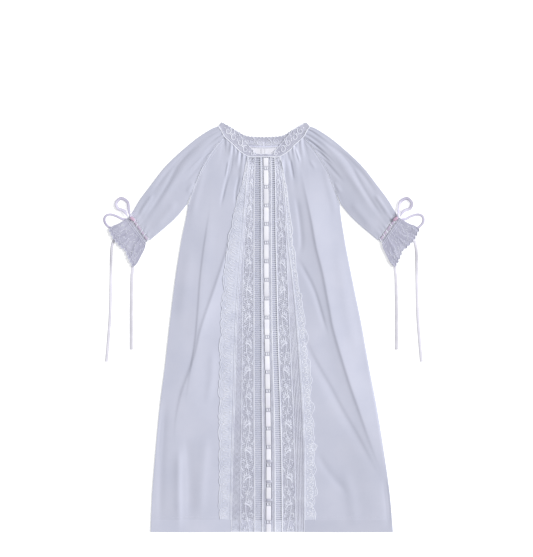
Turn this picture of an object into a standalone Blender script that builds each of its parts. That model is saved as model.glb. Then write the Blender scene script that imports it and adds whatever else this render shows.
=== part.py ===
"""Baby's daygown, laid flat on its back with the front up.

A long gown of sheer cotton with raglan sleeves, gathered into a lace neckband.
A lace panel runs down the front, with satin ribbon drawn through beading at its
centre and a gathered lace frill along both of its edges. Each wrist has ribbon in
beading, tied in a bow, and a lace flounce.

The head end points along +Y. Left and right are the viewer's, so left is -X.
Sizes are in millimetres and become metres when a mesh is made.
"""

import math
from collections import namedtuple

import bmesh
import bpy
import numpy as np

# Driving dimensions
MM = 0.001
CLOTH = 1.0
GAP = 0.3
HALF_LENGTH = 293.2
HEM_DEPTH = 17.0
RIBBON_WIDTH = 7.0
BOW_RIBBON_WIDTH = 4.5
WRIST_BAND_WIDTH = 6.0
SKIRT_LEAN = 7.0

# Levels of the middle of each wall above the surface that the gown lies on
STEP = CLOTH + GAP
BACK_LEVEL = CLOTH / 2
FRONT_LEVEL = BACK_LEVEL + STEP
TRIM_LEVEL = FRONT_LEVEL + STEP

# Seam lines of the front, each row at one distance from the middle of the length
SECTION_COLUMNS = (
    "y", "side_left", "frill_left", "panel_left", "insertion_left", "ladder_left", "beading_left",
    "beading_right", "ladder_right", "insertion_right", "panel_right", "frill_right", "side_right",
)
SECTIONS = np.array([
    (243.0, -108.5, -23.5, -21.4, -19.9, -13.4, -4.3, 9.3, 15.7, 19.9, 21.4, 23.5, 108.5),
    (210.0, -108.5, -29.5, -24.3, -22.6, -14.3, -3.8, 9.9, 16.4, 25.2, 27.2, 30.0, 108.5),
    (175.2, -108.5, -38.0, -27.3, -25.4, -14.8, -3.5, 10.0, 16.9, 28.6, 30.4, 35.0, 108.5),
    (124.0, -118.0, -49.0, -30.3, -28.2, -15.0, -3.4, 10.0, 17.4, 31.5, 33.6, 41.0, 115.5),
    (77.0, -125.5, -56.0, -34.3, -30.0, -15.0, -3.3, 10.2, 18.6, 33.3, 39.3, 46.5, 124.5),
    (4.0, -134.8, -61.5, -38.9, -31.1, -15.0, -2.6, 10.7, 20.0, 36.0, 46.5, 58.5, 139.3),
    (-60.0, -142.0, -63.5, -40.8, -31.6, -15.0, -2.4, 12.3, 22.0, 38.6, 51.0, 65.5, 150.7),
    (-104.0, -147.7, -64.5, -41.9, -32.0, -15.0, -2.3, 13.6, 23.5, 40.6, 54.1, 69.0, 159.3),
    (-185.0, -155.5, -64.3, -44.6, -33.2, -14.3, -1.4, 14.9, 25.7, 43.2, 57.2, 74.0, 172.5),
    (-240.0, -159.8, -64.3, -46.0, -33.6, -14.1, -1.7, 15.2, 26.4, 44.6, 57.4, 74.4, 180.0),
    (-293.2, -162.0, -64.3, -46.9, -33.7, -14.0, -2.0, 15.4, 26.7, 45.3, 57.6, 74.4, 184.5),
])

# Seams of one half, in plan, for the side at +X; the other side is their mirror image
NECK_SEAM = [(21.4, 243.0), (35.4, 251.3), (45.0, 261.0), (56.5, 271.5)]
RAGLAN_SEAM = [
    (56.5, 271.5), (72.9, 251.7), (87.2, 228.8), (93.4, 215.0), (100.1, 198.0), (108.5, 175.2),
]
SLEEVE_NECK_SEAM = [(65.8, 286.3), (60.9, 279.2), (56.9, 271.8)]
SLEEVE_TOP_FOLD = [
    (65.8, 286.3), (76.5, 281.7), (101.5, 264.6), (138.0, 231.7), (163.0, 200.2), (177.3, 180.9),
    (188.8, 161.5),
]
SLEEVE_UNDER_FOLD = [(110.0, 176.0), (122.3, 160.9), (137.3, 146.5), (163.0, 125.0)]
SEAM_SHIFT = (0.40, 0.30)
BACK_NECK_SEAM = [(0.15, 256.0), (20.0, 257.4), (34.3, 262.4), (48.6, 272.5), (60.0, 283.0)]
BACK_RAGLAN_SEAM = [(60.0, 283.0), (75.0, 256.0), (90.0, 228.0), (101.0, 199.0), (108.5, 175.2)]
FRONT_BAND_SEAM = [
    (0.15, 243.6), (10.0, 243.5), (21.2, 243.6), (35.1, 251.8), (44.7, 261.4), (56.2, 271.9),
    (60.4, 279.6), (65.3, 286.8),
]
FRONT_BAND_EDGE = [(0.15, 247.6), (10.5, 248.0), (19.5, 257.0), (31.5, 271.0), (42.0, 282.5), (60.5, 293.2)]
BACK_BAND_SEAM = [(0.15, 256.4), (20.0, 257.8), (34.1, 262.8), (48.3, 273.0), (62.5, 286.5)]
BACK_BAND_EDGE = [(0.15, 271.7), (25.0, 273.5), (39.0, 281.0), (59.0, 292.6)]
FLOUNCE_TOP_FOLD = [(194.0, 157.0), (204.1, 150.9), (210.2, 147.9), (216.2, 146.0), (223.2, 140.9)]
FLOUNCE_EDGE = [
    (223.2, 140.9), (219.2, 132.4), (214.8, 124.4), (204.5, 113.4), (198.8, 109.1), (195.1, 99.7),
    (189.3, 87.9), (185.6, 84.6),
]
FLOUNCE_UNDER_FOLD = [(168.2, 120.6), (169.6, 112.4), (175.0, 100.6), (180.4, 90.0), (185.6, 84.6)]

# Raised folds of each side front. Places run from 0 at the lace panel to 1 at the side seam,
# start and end from 0 at the neck to 1 at the hem. Widths and heights are in millimetres.
Fold = namedtuple("Fold", ("neck_place", "hem_place", "start", "end", "width", "height"))
FOLDS_LEFT = [
    (0.06, 0.20, -0.1, 0.16, 1.6, 1.0),
    (0.12, 0.26, -0.1, 0.24, 1.7, 1.3),
    (0.18, 0.40, -0.1, 0.32, 1.8, 1.4),
    (0.23, 0.36, -0.1, 0.20, 1.6, 1.2),
    (0.29, 0.52, -0.1, 0.28, 1.9, 1.5),
    (0.35, 0.50, -0.1, 0.18, 1.7, 1.2),
    (0.40, 0.62, -0.1, 0.26, 1.8, 1.2),
    (-0.05, 1.12, 0.22, 0.80, 7.0, 1.8),
    (0.57, 0.57, 0.08, 0.85, 8.0, 1.6),
    (0.80, 0.84, 0.30, 1.10, 9.0, 1.2),
    (0.32, 0.30, 0.62, 1.10, 9.0, 1.2),
]
FOLDS_RIGHT = [
    (0.06, 0.18, -0.1, 0.18, 1.6, 1.1),
    (0.12, 0.30, -0.1, 0.22, 1.7, 1.3),
    (0.18, 0.34, -0.1, 0.28, 1.8, 1.2),
    (0.24, 0.44, -0.1, 0.18, 1.6, 1.2),
    (0.30, 1.02, -0.1, 0.98, 4.5, 2.0),
    (0.36, 0.62, -0.1, 0.20, 1.7, 1.3),
    (0.41, 0.66, -0.1, 0.26, 1.8, 1.1),
    (0.05, 0.62, 0.26, 0.66, 5.0, 1.4),
    (-0.85, 1.08, 0.52, 0.92, 6.0, 1.5),
    (0.84, 0.80, 0.20, 0.75, 9.0, 1.2),
]

# Raised folds of a sleeve. Places run from 0 at the top fold to 1 at the underside fold,
# start and end from 0 at the neck to 1 at the wrist.
SLEEVE_FOLDS = [
    (0.09, 0.16, -0.1, 0.60, 2.2, 1.4),
    (0.17, 0.34, -0.1, 0.85, 3.0, 1.8),
    (0.25, 0.52, -0.1, 0.70, 2.4, 1.5),
    (0.45, 0.60, 0.30, 1.10, 4.0, 1.6),
    (0.30, 0.18, 0.55, 1.10, 2.6, 1.4),
    (0.45, 0.38, 0.70, 1.10, 2.4, 1.2),
    (0.80, 0.78, 0.62, 1.10, 2.6, 1.2),
]
SLEEVE_CROWN = 1.0
FRONT_CROWN = 0.9
FOLD_FADE = 0.35

# What repeats: how many there are, and how high each rises
RIBBON_FLOATS = 20
RIBBON_FLOAT_HEIGHT = 0.6
WRIST_FLOATS = 5
WRIST_FLOAT_HEIGHT = 0.4
FRILL_WAVES = 20
FRILL_WAVE_HEIGHT = 1.6
FLOUNCE_WAVES = 9
FLOUNCE_WAVE_HEIGHT = 1.6
NECKBAND_WAVES = 9
NECKBAND_WAVE_HEIGHT = 0.9

# How finely the surfaces are divided
NECK_SHARE = 0.42
NECK_COLUMNS = 24
SIDE_COLUMNS = 11
FRONT_REACHES = (0.0, 0.025, 0.055, 0.09, 0.13, 0.18, 0.24, 0.31, 0.39, 0.48, 0.57, 0.66, 0.76, 0.87, 1.0)
HEM_COLUMNS = 12
SEAM_STEPS = 12
STRIP_ROWS = 14
SLEEVE_REACHES = (0.0, 0.06, 0.13, 0.22, 0.34, 0.47, 0.60, 0.73, 0.86, 1.0)
SLEEVE_COLUMNS = 22
SLEEVE_NECK_SHARE = 0.3
STEPS_PER_WAVE = 4
FOLD_REACH = 0.6

# Bow ribbons for the side at +X: plan position and height of the ribbon's middle
UPPER_LOOP = [
    (190.6, 158.0, 6.6), (192.1, 162.0, 5.6), (193.2, 169.0, 3.6), (195.3, 179.0, 2.5),
    (204.5, 184.0, 2.5), (211.3, 177.0, 2.5), (208.5, 169.4, 2.6), (201.5, 166.8, 3.4),
    (197.2, 162.6, 5.0), (194.4, 157.8, 6.4),
]
LOWER_LOOP = [
    (194.2, 154.4, 0.5), (198.0, 154.0, 0.5), (203.2, 154.6, 0.5), (210.5, 158.4, 0.5),
    (219.9, 161.0, 0.5), (226.6, 158.6, 0.5), (228.4, 152.4, 0.5), (225.3, 146.0, 0.5),
    (219.0, 141.6, 0.5), (210.0, 142.4, 0.5), (202.0, 146.6, 0.5), (194.6, 151.9, 0.5),
]
OUTER_TAIL = [
    (193.0, 150.0, 0.5), (198.5, 143.5, 0.5), (207.0, 133.5, 0.5), (214.5, 124.4, 0.5),
    (217.3, 115.8, 0.5), (218.5, 101.5, 0.5), (218.9, 71.5, 0.5), (220.0, 20.0, 0.5),
    (222.4, -15.0, 0.5), (225.4, -49.8, 0.5),
]
INNER_TAIL = [
    (190.4, 149.6, 0.5), (190.6, 143.0, 0.5), (189.4, 128.0, 0.5), (187.8, 106.0, 0.5),
    (187.8, 84.4, 0.5), (189.0, 71.5, 0.5), (189.6, 45.0, 0.5), (189.8, 20.0, 0.5),
    (189.8, -32.5, 0.5),
]
LOOP_TILT = math.radians(50.0)
PINCHED_WIDTH = 1.2
RIBBON_PINCH = 0.42
RIBBON_STEP = 6.0
KNOT_PLACE = (187.6, 154.3, 5.9)
KNOT_RADII = (4.6, 3.2, 1.9)


def remove_all_objects():
    """Empty the scene without closing the file."""
    for thing in list(bpy.data.objects):
        bpy.data.objects.remove(thing, do_unlink=True)


def make_material(name, colour, roughness):
    """One plain finish."""
    material = bpy.data.materials.new(name)
    material.use_nodes = True
    shader = material.node_tree.nodes["Principled BSDF"]
    shader.inputs["Base Color"].default_value = (*colour, 1.0)
    shader.inputs["Roughness"].default_value = roughness
    shader.inputs["Metallic"].default_value = 0.0
    material.diffuse_color = (*colour, 1.0)
    return material


def smooth_path(points, pieces=12):
    """Return a function giving the point at a share, 0 to 1, of a smooth curve's length."""
    points = np.array(points, float)
    padded = np.vstack([2 * points[0] - points[1], points, 2 * points[-1] - points[-2]])
    dense = [points[0]]
    for before, here, there, after in zip(padded, padded[1:], padded[2:], padded[3:]):
        for piece in range(1, pieces + 1):
            t = piece / pieces
            dense.append(0.5 * (
                2 * here + (there - before) * t
                + (2 * before - 5 * here + 4 * there - after) * t ** 2
                + (3 * here - before - 3 * there + after) * t ** 3
            ))
    dense = np.array(dense)
    steps = np.linalg.norm(np.diff(dense, axis=0), axis=1)
    lengths = np.concatenate([[0.0], np.cumsum(steps)])

    def at(share):
        distance = share * lengths[-1]
        return np.array([np.interp(distance, lengths, dense[:, axis]) for axis in range(dense.shape[1])])

    at.length = lengths[-1]
    return at


def straight_path(start, end):
    """A straight line as a path function."""
    start = np.array(start, float)
    end = np.array(end, float)
    return lambda share: start + share * (end - start)


def joined_paths(first, second, split):
    """Follow one path up to the split and another after it, so that their corner stays sharp."""
    def at(share):
        if share <= split:
            return first(share / split)
        return second((share - split) / (1.0 - split))
    return at


def patch_point(start, end, first, last, s, t):
    """Point of a four-sided patch: start and end run along s, first and last along t."""
    sides = (1 - t) * start(s) + t * end(s) + (1 - s) * first(t) + s * last(t)
    corners = (
        (1 - s) * (1 - t) * start(0.0) + s * (1 - t) * start(1.0)
        + (1 - s) * t * end(0.0) + s * t * end(1.0)
    )
    return sides - corners


def seam_x(column, y):
    """Smooth value of one column of the section table at a height."""
    ys = SECTIONS[::-1, 0]
    values = SECTIONS[::-1, SECTION_COLUMNS.index(column)]
    slopes = np.gradient(values, ys)
    y = min(max(y, ys[0]), ys[-1])
    span = min(int(np.searchsorted(ys, y, side="right")) - 1, len(ys) - 2)
    width = ys[span + 1] - ys[span]
    t = (y - ys[span]) / width
    return (
        (2 * t ** 3 - 3 * t ** 2 + 1) * values[span] + (t ** 3 - 2 * t ** 2 + t) * width * slopes[span]
        + (3 * t ** 2 - 2 * t ** 3) * values[span + 1] + (t ** 3 - t ** 2) * width * slopes[span + 1]
    )


def side_name(sign):
    """Word for the side of the gown."""
    return "right" if sign > 0 else "left"


def mirrored(points, sign):
    """Points of a half, put on the side with this sign."""
    return [(sign * point[0], *point[1:]) for point in points]


def even_shares(count):
    """Evenly spread values from 0 to 1."""
    return [step / count for step in range(count + 1)]


def smooth_step(value):
    """Ease from 0 to 1."""
    value = min(max(value, 0.0), 1.0)
    return value * value * (3 - 2 * value)


def fold_height(folds, place, reach, width):
    """Height of the raised folds at one point of a piece that is this wide there."""
    height = 0.0
    for fold in (Fold(*row) for row in folds):
        if not fold.start < reach < fold.end:
            continue
        middle = fold.neck_place + (fold.hem_place - fold.neck_place) * reach
        fade_length = FOLD_FADE * (fold.end - fold.start)
        fade = smooth_step((reach - fold.start) / fade_length)
        fade *= smooth_step((fold.end - reach) / fade_length)
        offset = (place - middle) * width / fold.width
        height = max(height, fold.height * fade * math.exp(-offset * offset))
    return height


def make_sheet(name, rows, material, collection, ring=False):
    """Open surface through rows of points, given a wall by Solidify."""
    mesh = bpy.data.meshes.new(name)
    work = bmesh.new()
    grid = [[work.verts.new([value * MM for value in point]) for point in row] for row in rows]
    for upper, lower in zip(grid, grid[1:]):
        columns = len(upper) if ring else len(upper) - 1
        for column in range(columns):
            following = (column + 1) % len(upper)
            work.faces.new((upper[column], lower[column], lower[following], upper[following]))
    work.to_mesh(mesh)
    work.free()
    give_wall(name, mesh, material, collection)


def make_flat_piece(name, outline, level, material, collection):
    """Flat cloth with this outline, its wall centred on the level."""
    mesh = bpy.data.meshes.new(name)
    work = bmesh.new()
    corners = [work.verts.new((x * MM, y * MM, level * MM)) for x, y in outline]
    work.faces.new(corners)
    bmesh.ops.triangulate(work, faces=work.faces[:])
    work.to_mesh(mesh)
    work.free()
    give_wall(name, mesh, material, collection)


def give_wall(name, mesh, material, collection):
    """Object with a Solidify wall spread evenly to both sides of its surface."""
    mesh.materials.append(material)
    piece = bpy.data.objects.new(name, mesh)
    collection.objects.link(piece)
    wall = piece.modifiers.new("wall", "SOLIDIFY")
    wall.thickness = CLOTH * MM
    wall.offset = 0.0


def front_plan(sign):
    """Plan of a side front: the place runs from the lace panel to the side, the reach to the hem."""
    name = side_name(sign)
    hem_y = HEM_DEPTH - HALF_LENGTH + GAP
    neck = smooth_path(mirrored(NECK_SEAM, sign))
    raglan = smooth_path(mirrored(RAGLAN_SEAM, sign))
    top = joined_paths(neck, raglan, NECK_SHARE)
    inner_top = NECK_SEAM[0][1]
    outer_top = RAGLAN_SEAM[-1][1]

    def inner(reach):
        y = inner_top + (hem_y - inner_top) * reach
        return np.array([seam_x("panel_" + name, y) + sign * GAP, y])

    def outer(reach):
        y = outer_top + (hem_y - outer_top) * reach
        return np.array([seam_x("side_" + name, y), y])

    hem = straight_path(inner(1.0), outer(1.0))
    return lambda place, reach: patch_point(top, hem, inner, outer, place, reach)


def front_surface(sign):
    """Middle surface of a side front with its folds, as a function of place and reach."""
    plan = front_plan(sign)
    folds = FOLDS_RIGHT if sign > 0 else FOLDS_LEFT

    def at(place, reach):
        x, y = plan(place, reach)
        width = abs(plan(1.0, reach)[0] - plan(0.0, reach)[0])
        swell = FRONT_CROWN * math.sin(math.pi * place) * smooth_step(reach / 0.15)
        return np.array([x, y, FRONT_LEVEL + swell + fold_height(folds, place, reach, width)])

    return at


def make_back(sign, material, collection):
    """One half of the back, with the centre back seam that opens at the neck."""
    name = side_name(sign)
    neck = smooth_path(mirrored(BACK_NECK_SEAM, sign))
    raglan = smooth_path(mirrored(BACK_RAGLAN_SEAM, sign))
    outline = [tuple(neck(share)) for share in even_shares(SEAM_STEPS)]
    outline += [tuple(raglan(share)) for share in even_shares(SEAM_STEPS)[1:]]
    underarm = RAGLAN_SEAM[-1][1]
    for share in even_shares(SEAM_STEPS)[1:]:
        y = underarm + (-HALF_LENGTH - underarm) * share
        outline.append((seam_x("side_" + name, y), y))
    for share in even_shares(SEAM_STEPS):
        y = -HALF_LENGTH + (BACK_NECK_SEAM[0][1] + HALF_LENGTH) * share
        outline.append((centre_back_x(y) + sign * GAP / 2, y))
    make_flat_piece("back_" + name, outline[:-1], BACK_LEVEL, material, collection)


def centre_back_x(y):
    """The centre back seam leans with the skirt."""
    return SKIRT_LEAN * smooth_step((BACK_NECK_SEAM[0][1] - y) / (2 * HALF_LENGTH))


def make_front(sign, material, collection):
    """Side front, gathered into the neckband, with its hem band below it."""
    name = side_name(sign)
    surface = front_surface(sign)
    folds = FOLDS_RIGHT if sign > 0 else FOLDS_LEFT
    places = [NECK_SHARE * share for share in even_shares(NECK_COLUMNS)]
    places += [NECK_SHARE + (1 - NECK_SHARE) * share for share in even_shares(SIDE_COLUMNS)[1:]]
    rows = [[surface(place, reach) for place in places] for reach in FRONT_REACHES]
    make_sheet("front_" + name, rows, material, collection)
    hem_rows = []
    for y in (HEM_DEPTH - HALF_LENGTH, -HALF_LENGTH):
        inner = seam_x("panel_" + name, y) + sign * GAP
        outer = seam_x("side_" + name, y)
        row = []
        for place in even_shares(HEM_COLUMNS):
            swell = FRONT_CROWN * math.sin(math.pi * place)
            rise = fold_height(folds, place, 1.0, abs(outer - inner))
            row.append((inner + (outer - inner) * place, y, FRONT_LEVEL + swell + rise))
        hem_rows.append(row)
    make_sheet("hem_" + name, hem_rows, material, collection)


def make_panel_strips(material, collection):
    """Lace strips of the centre panel, each between two seams of the section table."""
    strips = (
        ("net_strip_left", "panel_left", "insertion_left"),
        ("insertion_left", "insertion_left", "ladder_left"),
        ("ladder_left", "ladder_left", "beading_left"),
        ("beading_centre", "beading_left", "beading_right"),
        ("ladder_right", "beading_right", "ladder_right"),
        ("insertion_right", "ladder_right", "insertion_right"),
        ("net_strip_right", "insertion_right", "panel_right"),
    )
    top = SECTIONS[0, 0] - GAP / 2
    for name, near, far in strips:
        rows = []
        for share in even_shares(STRIP_ROWS):
            y = top + (-HALF_LENGTH - top) * share
            left = seam_x(near, y) + GAP / 2
            right = seam_x(far, y) - GAP / 2
            rows.append([(left, y, FRONT_LEVEL), (right, y, FRONT_LEVEL)])
        make_sheet(name, rows, material, collection)


def make_centre_ribbon(material, collection):
    """Satin ribbon on the beading, rising in a low float between its slots."""
    top = SECTIONS[0, 0] - 2.0
    rows = []
    for share in even_shares(RIBBON_FLOATS * STEPS_PER_WAVE):
        y = top + (-HALF_LENGTH - top) * share
        middle = (seam_x("beading_left", y) + seam_x("beading_right", y)) / 2
        rise = RIBBON_FLOAT_HEIGHT * math.sin(math.pi * RIBBON_FLOATS * share) ** 2
        half = RIBBON_WIDTH / 2
        rows.append([(middle - half, y, TRIM_LEVEL + rise), (middle + half, y, TRIM_LEVEL + rise)])
    make_sheet("centre_ribbon", rows, material, collection)


def make_frill(sign, material, collection):
    """Gathered lace along the panel's edge, lying on the side front and made from its points."""
    name = side_name(sign)
    surface = front_surface(sign)
    count = FRILL_WAVES * STEPS_PER_WAVE
    rows = []
    for step in range(1, count + 1):
        reach = step / count
        seam = surface(0.0, reach)
        side = surface(1.0, reach)
        frill_width = abs(seam_x("frill_" + name, seam[1]) - seam[0])
        place_at_edge = frill_width / abs(side[0] - seam[0])
        uneven = 0.75 + 0.25 * math.sin(2.3 * step)
        wave = FRILL_WAVE_HEIGHT * uneven * (0.5 + 0.5 * math.sin(2 * math.pi * step / STEPS_PER_WAVE))
        row = []
        for across in even_shares(3):
            point = surface(place_at_edge * across, reach)
            row.append(point + np.array([0.0, 0.0, STEP + 0.1 + wave * across]))
        rows.append(row)
    make_sheet("frill_" + name, rows, material, collection)


def tube_ring(top_row, bottom_row):
    """Closed ring of points from a top row and a bottom row, with round folds at both ends."""
    top_row = [np.array(point) for point in top_row]
    bottom_row = [np.array(point) for point in bottom_row]
    first_out = top_row[0] - top_row[1]
    last_out = top_row[-1] - top_row[-2]
    ring = list(top_row)
    for edge, under, outward, tail in (
        (top_row[-1], bottom_row[-1], last_out, bottom_row[::-1]),
        (top_row[0], bottom_row[0], first_out, []),
    ):
        outward = outward * np.array([1.0, 1.0, 0.0])
        outward = outward / np.linalg.norm(outward)
        ring.append((edge + under) / 2 + FOLD_REACH * outward)
        ring.extend(tail)
    return ring


def sleeve_plan(sign, back):
    """Plan of one layer of a sleeve: the place runs from top fold to underside fold."""
    body_seam = BACK_RAGLAN_SEAM if back else RAGLAN_SEAM
    neck_share = 1 / SEAM_STEPS if back else SLEEVE_NECK_SHARE
    raglan_points = [(x + SEAM_SHIFT[0], y + SEAM_SHIFT[1]) for x, y in body_seam]
    raglan_points[-1] = SLEEVE_UNDER_FOLD[0]
    neck_points = [SLEEVE_TOP_FOLD[0], raglan_points[0]] if back else SLEEVE_NECK_SEAM
    neck = smooth_path(mirrored(neck_points, sign))
    seam = joined_paths(neck, smooth_path(mirrored(raglan_points, sign)), neck_share)
    wrist = straight_path(*mirrored([SLEEVE_TOP_FOLD[-1], SLEEVE_UNDER_FOLD[-1]], sign))
    top_fold = smooth_path(mirrored(SLEEVE_TOP_FOLD, sign))
    under_fold = smooth_path(mirrored(SLEEVE_UNDER_FOLD, sign))
    return lambda place, reach: patch_point(seam, wrist, top_fold, under_fold, place, reach)


def make_sleeve(sign, material, collection):
    """Raglan sleeve, a tube pressed flat between its top fold and its underside fold."""
    name = side_name(sign)
    upper = sleeve_plan(sign, back=False)
    lower = sleeve_plan(sign, back=True)
    rows = []
    for reach in SLEEVE_REACHES:
        start = upper(0.0, reach)
        end = upper(1.0, reach)
        width = np.linalg.norm(end - start)
        top_row = []
        for place in even_shares(SLEEVE_COLUMNS):
            x, y = upper(place, reach)
            swell = SLEEVE_CROWN * math.sin(math.pi * place) * smooth_step(reach / 0.2)
            swell *= smooth_step((1.0 - reach) / 0.2)
            rise = fold_height(SLEEVE_FOLDS, place, reach, width)
            ends = smooth_step(place / 0.06) * smooth_step((1.0 - place) / 0.06)
            top_row.append((x, y, FRONT_LEVEL + (swell + rise) * ends))
        bottom_row = [(*lower(place, reach), BACK_LEVEL) for place in even_shares(SEAM_STEPS)]
        rows.append(tube_ring(top_row, bottom_row))
    make_sheet("sleeve_" + name, rows, material, collection, ring=True)


def wrist_lines(sign):
    """Inner and outer line of the beading band at a wrist, from top fold to underside fold."""
    top = np.array(SLEEVE_TOP_FOLD[-1])
    under = np.array(SLEEVE_UNDER_FOLD[-1])
    along = (under - top) / np.linalg.norm(under - top)
    outward = np.array([-along[1], along[0]])
    mirror = np.array([sign, 1.0])
    inner = [(top + GAP * outward) * mirror, (under + GAP * outward) * mirror]
    outer = [point + (WRIST_BAND_WIDTH - GAP) * outward * mirror for point in inner]
    return inner, outer


def make_wrist_band(sign, materials, collection):
    """Flat ring of beading at the wrist and the ribbon drawn through it."""
    name = side_name(sign)
    inner, outer = wrist_lines(sign)
    inset = 0.015
    rows = []
    for share in even_shares(2):
        start = inner[0] + (outer[0] - inner[0]) * share
        end = inner[1] + (outer[1] - inner[1]) * share
        places = [inset + (1 - 2 * inset) * place for place in even_shares(10)]
        line = [start + (end - start) * place for place in places]
        top_row = [(*point, FRONT_LEVEL) for point in line]
        bottom_row = [(*point, BACK_LEVEL) for point in line]
        rows.append(tube_ring(top_row, bottom_row))
    make_sheet("wrist_beading_" + name, rows, materials["lace"], collection, ring=True)
    ribbon_rows = []
    for share in (0.18, 0.82):
        start = inner[0] + (outer[0] - inner[0]) * share
        end = inner[1] + (outer[1] - inner[1]) * share
        row = []
        for place in even_shares(WRIST_FLOATS * STEPS_PER_WAVE):
            spot = start + (end - start) * (0.02 + 0.96 * place)
            rise = WRIST_FLOAT_HEIGHT * math.sin(math.pi * WRIST_FLOATS * place) ** 2
            row.append((*spot, TRIM_LEVEL + rise))
        ribbon_rows.append(row)
    make_sheet("wrist_ribbon_" + name, ribbon_rows, materials["ribbon"], collection)


def make_flounce(sign, material, collection):
    """Gathered lace flounce, a short tube that flares from the wrist band."""
    name = side_name(sign)
    top_fold = smooth_path(mirrored(FLOUNCE_TOP_FOLD, sign))
    under_fold = smooth_path(mirrored(FLOUNCE_UNDER_FOLD, sign))
    edge = smooth_path(mirrored(FLOUNCE_EDGE, sign))
    start = straight_path(top_fold(0.0), under_fold(0.0))
    inset = 0.02
    rows = []
    for reach in even_shares(5):
        top_row = []
        for share in even_shares(FLOUNCE_WAVES * 3):
            place = inset + (1 - 2 * inset) * share
            x, y = patch_point(start, edge, top_fold, under_fold, place, reach)
            wave = 0.5 - 0.5 * math.cos(2 * math.pi * FLOUNCE_WAVES * share)
            rise = FLOUNCE_WAVE_HEIGHT * wave * (0.35 + 0.65 * reach)
            top_row.append((x, y, TRIM_LEVEL + rise))
        bottom_row = []
        for share in even_shares(8):
            place = inset + (1 - 2 * inset) * share
            x, y = patch_point(start, edge, top_fold, under_fold, place, reach)
            bottom_row.append((x, y, FRONT_LEVEL))
        rows.append(tube_ring(top_row, bottom_row))
    make_sheet("flounce_" + name, rows, material, collection, ring=True)


def make_neckband(sign, material, collection):
    """Lace neckband of one half: the front part over the back part."""
    name = side_name(sign)
    for part, seam_points, edge_points, level in (
        ("front", FRONT_BAND_SEAM, FRONT_BAND_EDGE, FRONT_LEVEL),
        ("back", BACK_BAND_SEAM, BACK_BAND_EDGE, BACK_LEVEL),
    ):
        seam = smooth_path(mirrored(seam_points, sign))
        edge = smooth_path(mirrored(edge_points, sign))
        height = NECKBAND_WAVE_HEIGHT if part == "front" else 0.0
        rows = []
        for across in even_shares(2):
            row = []
            for share in even_shares(NECKBAND_WAVES * 3):
                x, y = seam(share) + (edge(share) - seam(share)) * across
                wave = 0.5 - 0.5 * math.cos(2 * math.pi * NECKBAND_WAVES * share)
                row.append((x, y, level + height * wave * across))
            rows.append(row)
        make_sheet("neckband_" + part + "_" + name, rows, material, collection)


def make_bow_ribbon(name, route, sign, material, collection, tilt=0.0, pinch_end=False):
    """Flat ribbon along a smooth route, narrowed where it comes out of the knot."""
    path = smooth_path(mirrored(route, sign))
    count = max(12, round(path.length / RIBBON_STEP))
    rows = []
    for share in even_shares(count):
        before = path(max(share - 0.004, 0.0))
        after = path(min(share + 0.004, 1.0))
        along = (after - before)[:2]
        along = along / np.linalg.norm(along)
        from_start = share * path.length
        from_end = (1.0 - share) * path.length
        width = BOW_RIBBON_WIDTH
        width = min(width, PINCHED_WIDTH + RIBBON_PINCH * from_start)
        if pinch_end:
            width = min(width, PINCHED_WIDTH + RIBBON_PINCH * from_end)
        across = np.array([-along[1] * math.cos(tilt), along[0] * math.cos(tilt), sign * math.sin(tilt)])
        middle = path(share)
        rows.append([middle - across * width / 2, middle + across * width / 2])
    make_sheet(name, rows, material, collection)


def make_knot(sign, material, collection):
    """Small pressed knot of the bow."""
    bpy.ops.mesh.primitive_uv_sphere_add(segments=12, ring_count=7, radius=MM)
    knot = bpy.context.object
    knot.name = "knot_" + side_name(sign)
    knot.data.name = knot.name
    turn = math.atan2(KNOT_RADII[1], KNOT_RADII[0])
    for vertex in knot.data.vertices:
        x, y, z = vertex.co / MM
        pinch = 0.72 + 0.28 * abs(x)
        x *= KNOT_RADII[0]
        y *= KNOT_RADII[1] * pinch
        z *= KNOT_RADII[2] * pinch
        turned_x = x * math.cos(turn) - y * math.sin(turn)
        turned_y = x * math.sin(turn) + y * math.cos(turn)
        vertex.co = (
            sign * (KNOT_PLACE[0] + turned_x) * MM, (KNOT_PLACE[1] + turned_y) * MM, (KNOT_PLACE[2] + z) * MM,
        )
    if sign < 0:
        knot.data.flip_normals()
    knot.data.shade_smooth()
    knot.data.materials.append(material)
    for owner in list(knot.users_collection):
        owner.objects.unlink(knot)
    collection.objects.link(knot)


def make_bow(sign, materials, collection):
    """Bow at the wrist: knot, two loops and two loose ends."""
    name = side_name(sign)
    ribbon = materials["ribbon"]
    make_knot(sign, materials["knot"], collection)
    make_bow_ribbon("loop_upper_" + name, UPPER_LOOP, sign, ribbon, collection, LOOP_TILT, True)
    make_bow_ribbon("loop_lower_" + name, LOWER_LOOP, sign, ribbon, collection, 0.0, True)
    make_bow_ribbon("tail_outer_" + name, OUTER_TAIL, sign, ribbon, collection)
    make_bow_ribbon("tail_inner_" + name, INNER_TAIL, sign, ribbon, collection)


def main():
    remove_all_objects()
    collection = bpy.data.collections.new("daygown")
    bpy.context.scene.collection.children.link(collection)
    materials = {
        "batiste": make_material("batiste", (0.66, 0.68, 0.78), 0.85),
        "lace": make_material("lace", (0.58, 0.59, 0.66), 0.9),
        "ribbon": make_material("ribbon", (0.82, 0.78, 0.88), 0.35),
        "knot": make_material("knot", (0.72, 0.48, 0.66), 0.4),
    }
    for sign in (-1, 1):
        make_back(sign, materials["batiste"], collection)
        make_front(sign, materials["batiste"], collection)
        make_sleeve(sign, materials["batiste"], collection)
        make_neckband(sign, materials["lace"], collection)
        make_frill(sign, materials["lace"], collection)
        make_wrist_band(sign, materials, collection)
        make_flounce(sign, materials["lace"], collection)
        make_bow(sign, materials, collection)
    make_panel_strips(materials["lace"], collection)
    make_centre_ribbon(materials["ribbon"], collection)


main()
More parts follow.
